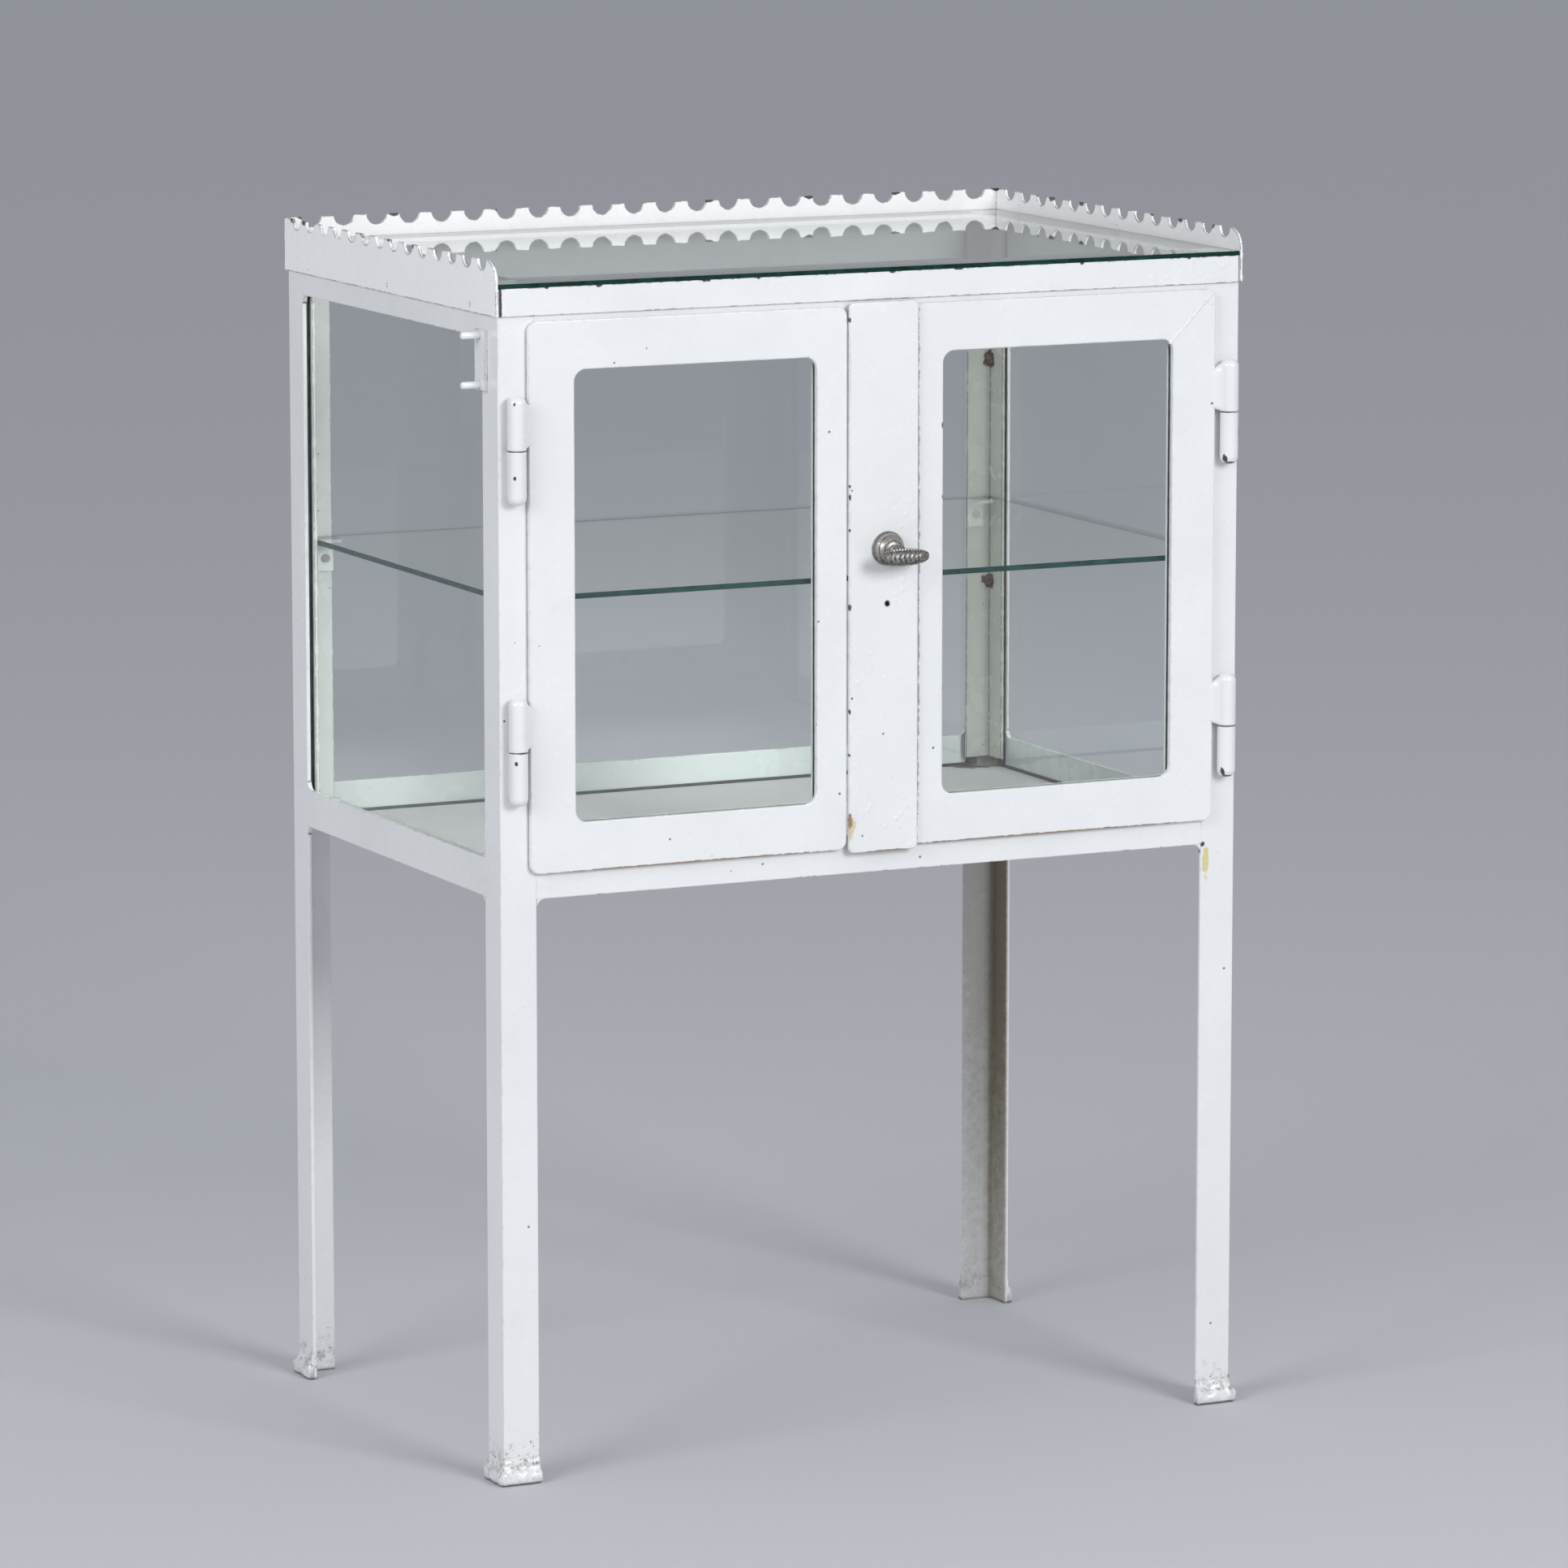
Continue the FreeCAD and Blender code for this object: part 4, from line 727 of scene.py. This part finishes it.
# Cover strip: a flat bar on the right door that covers the meeting of the two leaves. It carries the
# handle, and its left edge has been rubbed and chipped by the other door.
strip_chips = chips_along(strip_low.x, strip_low.y, (0.18, 0.26, 0.45, 0.59, 0.65, 0.67, 0.97))
strip_enamel = enamel("strip_enamel", chips=0.85, pits=0.8, bubbles=0.9, marks=strip_chips + [
    # Painted shade inside the hole.
    hole_shade,
    ((strip_low.x, strip_low.y, strip_low.z + 0.025), (0.0060, 0.004, 0.013), (0.62, 0.55, 0.38)),
    ((strip_low.x, strip_low.y, strip_low.z + 0.030), (0.0030, 0.004, 0.007), (0.30, 0.21, 0.12)),
    (((strip_low.x + strip_high.x) / 2, strip_low.y, strip_low.z), (0.030, 0.004, 0.0016), rust_line)])
dress(strip_enamel, "cover_strip")

# Hinges: lift-off barrels with domed ends. The lower half is welded to the post, and the upper half
# runs out in a fillet on the face of the door. The paint has come off in spots, down to black iron.
left_leaf_low, left_leaf_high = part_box("left_hinge_leaves")
right_leaf_low, right_leaf_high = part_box("right_hinge_leaves")
barrel = 0.0085
dome = 0.0064
half_barrel = 0.0480
split_gap = 0.00025
left_axis = left_leaf_low.x + barrel
right_axis = right_leaf_high.x - barrel
axis_y = left_leaf_low.y + barrel
left_splits = (left_leaf_high.z - half_barrel, left_leaf_low.z - split_gap)
right_splits = (right_leaf_high.z - half_barrel, right_leaf_low.z - split_gap)
spot_left = (left_axis - 0.6 * barrel, axis_y - 0.8 * barrel)
spot_right = (right_axis - 0.8 * barrel, axis_y - 0.6 * barrel)
small_spot = (0.0015, 0.0015, 0.0021)
hinge_marks = [
    (spot_left + (left_leaf_high.z - 0.0060,), small_spot, bare_iron_and_gap_shade),
    (spot_left + (left_splits[0] - 0.0235,), small_spot, bare_iron_and_gap_shade),
    (spot_left + (left_splits[1] - 0.0090,), small_spot, bare_iron_and_gap_shade),
    ((right_axis + 0.85 * barrel, axis_y - 0.5 * barrel, right_splits[0] - 0.0190),
     (0.0016, 0.0030, 0.0060), bare_iron_and_gap_shade)]
for split in right_splits:
    lower_end = split - half_barrel
    hinge_marks.append((spot_right + (lower_end + 0.0050,), (0.0025, 0.0025, 0.0055), bare_iron_and_gap_shade))
    hinge_marks.append(((right_axis, axis_y - 0.5 * barrel, lower_end), (0.0100, 0.0100, 0.0022), bare_iron_and_gap_shade))
for axis_x, splits in ((left_axis, left_splits), (right_axis, right_splits)):
    for split in splits:
        hinge_marks.append(((axis_x, axis_y, split), (0.0160, 0.0160, 0.0008), (0.22, 0.19, 0.16)))
hinge_enamel = enamel("hinge_enamel", chips=0.75, pits=0.6, bubbles=0.5, marks=hinge_marks)
dress(hinge_enamel, "hinge_post_knuckles")
dress(dull_screws, "hinge_pins")

arc_steps = 44
web_steps = 26
barrel_steps = 48
web_turn = math.radians(25)
web_end = door_low.y + 0.0004
for name, body, axis_x, side, edge_x, splits in (
        ("left_hinge", "left_door", left_axis, 1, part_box("left_door_frame")[0].x, left_splits),
        ("right_hinge", "right_door", right_axis, -1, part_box("right_door_frame")[1].x, right_splits)):
    stacks = []
    for split in splits:
        rings = []
        for i in range(barrel_steps + 1):
            rise = half_barrel * math.sin(math.pi * i / barrel_steps / 2)
            cap = max(0.0, rise - (half_barrel - dome)) / dome
            radius = barrel - dome + dome * math.sqrt(max(0.0, 1.0 - cap * cap))
            full = min(1.0, rise / 0.0040, max(0.0, (half_barrel - 0.0030 - rise) / 0.0100))
            full = math.sin(math.pi * full / 2)
            ring = []
            for j in range(arc_steps):
                turn = math.pi / 2 + (3 * math.pi / 2 - web_turn) * j / arc_steps
                ring.append((radius * math.cos(turn), axis_y + radius * math.sin(turn)))
            near = (radius * math.cos(web_turn), axis_y - radius * math.sin(web_turn))
            far = abs(edge_x - axis_x) + 0.0070
            for j in range(web_steps):
                share = j / (web_steps - 1)
                turn = -web_turn + (math.pi / 2 + web_turn) * share * 0.95
                round_x, round_y = radius * math.cos(turn), axis_y + radius * math.sin(turn)
                web_x = near[0] + (far - near[0]) * share
                web_y = web_end - (web_end - near[1]) * (1 - share) ** 2.2
                ring.append((round_x + (web_x - round_x) * full, round_y + (web_y - round_y) * full))
            rings.append([(axis_x + side * x, y, split + split_gap + rise * 0.995) for x, y in ring])
        stacks.append(rings)
    stacked(name + "_barrels", stacks, hinge_enamel, body, "white_paint", name + "_leaves")

# Handle: a cast nickel-silver lever on a domed rosette. The lever is an egg-shaped oval with a row of
# beads along its upper and lower edge and slanting leaf ribs between them. The high spots are polished
# by use, and the hollows have gone dark.
lever_low, lever_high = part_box("handle_lever")
rosette_radius = (rosette_high.x - rosette_low.x) / 2
lever_half_depth = 0.0057
lever_half_height = 0.0074
lever_y = lever_low.y + 0.0060
lever_z = handle_z - 0.0050
bead_count = 17
rib_count = 10
bead_rise = 0.0014
bead_place = math.radians(72)
bead_width = math.radians(19)
rib_rise = 0.0006
plain_shine = 0.30


def hill(offset, width):
    """A smooth rise: one at no offset, and nothing beyond the width."""
    if abs(offset) >= width:
        return 0.0
    return 0.5 + 0.5 * math.cos(math.pi * offset / width)


def lever_ornament(along, around):
    """How far the ornament stands up; around is nought in front and a quarter turn at the top."""
    from_front = abs(math.atan2(math.sin(around), math.cos(around)))
    beads = hill(from_front - bead_place, bead_width) * abs(math.sin(math.pi * bead_count * along)) ** 0.7
    leaf = hill(from_front, math.radians(52)) ** 0.5 if along < 0.74 else 0.0
    ribs = leaf * (0.5 + 0.5 * math.cos(2 * math.pi * (rib_count * along - 0.75 * from_front)))
    almond = hill(math.hypot((along - 0.87) * 8.0, from_front * 1.2) - 0.70, 0.32)
    fade = hill(along - 0.5, 0.52) ** 0.3
    return fade * max(bead_rise * beads, rib_rise * ribs, rib_rise * almond)


def turned(profile, count=72):
    """Rings about the handle's axis, from (distance off the door, radius) pairs."""
    rings = []
    for off, radius in profile:
        turns = [2 * math.pi * j / count for j in range(count)]
        rings.append([(handle_x + radius * math.cos(a), rosette_high.y - off, handle_z - radius * math.sin(a))
                      for a in turns])
    return rings


cast_nickel, tree, shader = new_finish("cast_nickel")
place = put(tree, "ShaderNodeTexCoord").outputs["Object"]
grain = ramp(tree, noise(tree, place, 420.0, 6.0, 0.65), 0.30, 0.70, -0.28, 0.28)
shine = reckon(tree, "ADD", put(tree, "ShaderNodeAttribute", attribute_name="shine").outputs["Fac"], grain)
polish = ramp(tree, shine, 0.0, 0.85)
tint = blend_colour(tree, polish, (0.050, 0.046, 0.041, 1), (0.56, 0.545, 0.52, 1))
tree.links.new(tint, shader.inputs["Base Color"])
tree.links.new(ramp(tree, polish, 0.0, 1.0, 0.45, 1.0), shader.inputs["Metallic"])
tree.links.new(ramp(tree, polish, 0.0, 1.0, 0.52, 0.24), shader.inputs["Roughness"])
sand = put(tree, "ShaderNodeBump", {"Height": noise(tree, place, 1400.0, 3.0, 0.6), "Distance": 0.00012})
tree.links.new(sand.outputs["Normal"], shader.inputs["Normal"])

dome_steps = 60
rosette_foot = 0.0020
dome_radius = rosette_radius - 0.0009
rosette_profile = [(0.0, rosette_radius), (rosette_foot, rosette_radius), (rosette_foot, dome_radius)]
rosette_shines = [plain_shine] * 3
for i in range(dome_steps + 1):
    climb = math.radians(66) * i / dome_steps
    groove = max(hill(i - 6, 3), hill(i - 27, 3), hill(i - 49, 4))
    radius = dome_radius * math.cos(climb) - 0.00035 * groove
    rosette_profile.append((rosette_foot + 0.0128 * math.sin(climb), radius))
    rosette_shines.append(0.55 - 0.55 * groove)
rosette_rings = turned(rosette_profile)
rosette_mesh = stacked("domed_rosette", [rosette_rings], cast_nickel, "right_door", "aged_nickel", "rosette")
rosette_mesh.attributes.new("shine", "FLOAT", "POINT")
rosette_shines = [shine for shine in rosette_shines for j in rosette_rings[0]]
rosette_mesh.attributes["shine"].data.foreach_set("value", rosette_shines)

lever_rings, lever_shines = [], []
lever_steps = 240
lever_facets = 112
for i in range(lever_steps + 1):
    turn = math.pi * (0.012 + 0.976 * i / lever_steps)
    along = (1 - math.cos(turn)) / 2
    girth = math.sin(turn) ** 0.66 * (1.0 + 0.10 * math.cos(turn))
    x = lever_low.x + (lever_high.x - lever_low.x) * along
    ring = []
    for j in range(lever_facets):
        around = 2 * math.pi * j / lever_facets
        rise = lever_ornament(along, around)
        ring.append((x, lever_y - (lever_half_depth * girth + rise) * math.cos(around),
                     lever_z + (lever_half_height * girth + rise) * math.sin(around)))
        lever_shines.append(0.12 + rise / bead_rise)
    lever_rings.append(ring)
neck_from = 0.0120
neck_to = rosette_high.y - lever_y
neck_radius = 0.0056
neck_steps = 30
neck_shares = [i / neck_steps for i in range(neck_steps + 1)]
neck_collars = [hill(share - 0.42, 0.10) for share in neck_shares]
neck_profile = []
for share, collar in zip(neck_shares, neck_collars):
    waist = 0.0009 * math.sin(math.pi * share)
    neck_profile.append((neck_from + (neck_to - neck_from) * share, neck_radius - waist + 0.0009 * collar))
neck_rings = turned(neck_profile)
neck_shines = [plain_shine + 0.4 * collar for collar in neck_collars for j in neck_rings[0]]
lever_mesh = stacked("cast_lever", [lever_rings, neck_rings], cast_nickel,
                     "handle", "aged_nickel", "handle_lever")
lever_mesh.attributes.new("shine", "FLOAT", "POINT")
lever_mesh.attributes["shine"].data.foreach_set("value", lever_shines + neck_shines)

# Lock: spindle, crank and flat rods behind the lock stile, and two bolts on the other leaf.
lock_steel = aged_metal("lock_steel", (0.45, 0.43, 0.40), (0.24, 0.22, 0.20), 0.2)
dress(lock_steel, "handle_spindle", "handle_crank", "upper_rod", "lower_rod", "rod_guides",
      "left_bolt_guides", "left_upper_bolt", "left_lower_bolt")

# Holder: a plate with two pegs on the side of the front left post, painted with the cabinet.
dress(post_enamel, "side_holder")

# Stage: a pale floor, two soft boxes and an even sky, and a long lens from the front left.
floor_mesh = bpy.data.meshes.new("floor")
floor_mesh.from_pydata([(-40, -40, 0), (40, -40, 0), (40, 40, 0), (-40, 40, 0)], [], [(0, 1, 2, 3)])
floor = bpy.data.objects.new("floor", floor_mesh)
bpy.context.scene.collection.objects.link(floor)
floor_paper, tree, shader = new_finish("floor_paper")
shader.inputs["Base Color"].default_value = (0.575, 0.583, 0.622, 1)
shader.inputs["Roughness"].default_value = 0.9
floor_mesh.materials.append(floor_paper)

for name, spot, power, size in (("soft_box_right", (1.2, -5.3, 2.9), 160, 1.9),
                                ("soft_box_left", (-4.8, -2.2, 3.0), 120, 2.6)):
    lamp = bpy.data.lights.new(name, "AREA")
    lamp.shape = "SQUARE"
    lamp.size = size
    lamp.energy = power
    light = bpy.data.objects.new(name, lamp)
    light.location = spot
    light.rotation_euler = (Vector((0, 0, 0.7)) - Vector(spot)).to_track_quat("-Z", "Y").to_euler()
    bpy.context.scene.collection.objects.link(light)

world = bpy.data.worlds.new("even_sky")
bpy.context.scene.world = world
world.use_nodes = True
tree = world.node_tree
sky = tree.nodes["Background"]
sky.inputs["Color"].default_value = (0.89, 0.915, 0.965, 1)
toward = put(tree, "ShaderNodeSeparateXYZ", {0: put(tree, "ShaderNodeTexCoord").outputs["Generated"]})
mirrored_room = ramp(tree, toward.outputs["Y"], -0.6, 0.6, 0.62, 0.36)
sharp = put(tree, "ShaderNodeLightPath")
room = put(tree, "ShaderNodeMix", {0: sharp.outputs["Is Glossy Ray"], 2: 0.52, 3: mirrored_room})
tree.links.new(room.outputs[0], sky.inputs["Strength"])

camera = bpy.data.cameras.new("camera")
camera.sensor_width = 36.0
camera.lens = 178.98
camera.clip_end = 200.0
viewer = bpy.data.objects.new("camera", camera)
viewer.location = (-3.0799, -6.4551, 1.7414)
viewer.rotation_euler = Vector((0.4277, 0.8896, -0.1604)).to_track_quat("-Z", "Y").to_euler()
bpy.context.scene.collection.objects.link(viewer)
bpy.context.scene.camera = viewer
bpy.context.scene.view_settings.view_transform = "Standard"
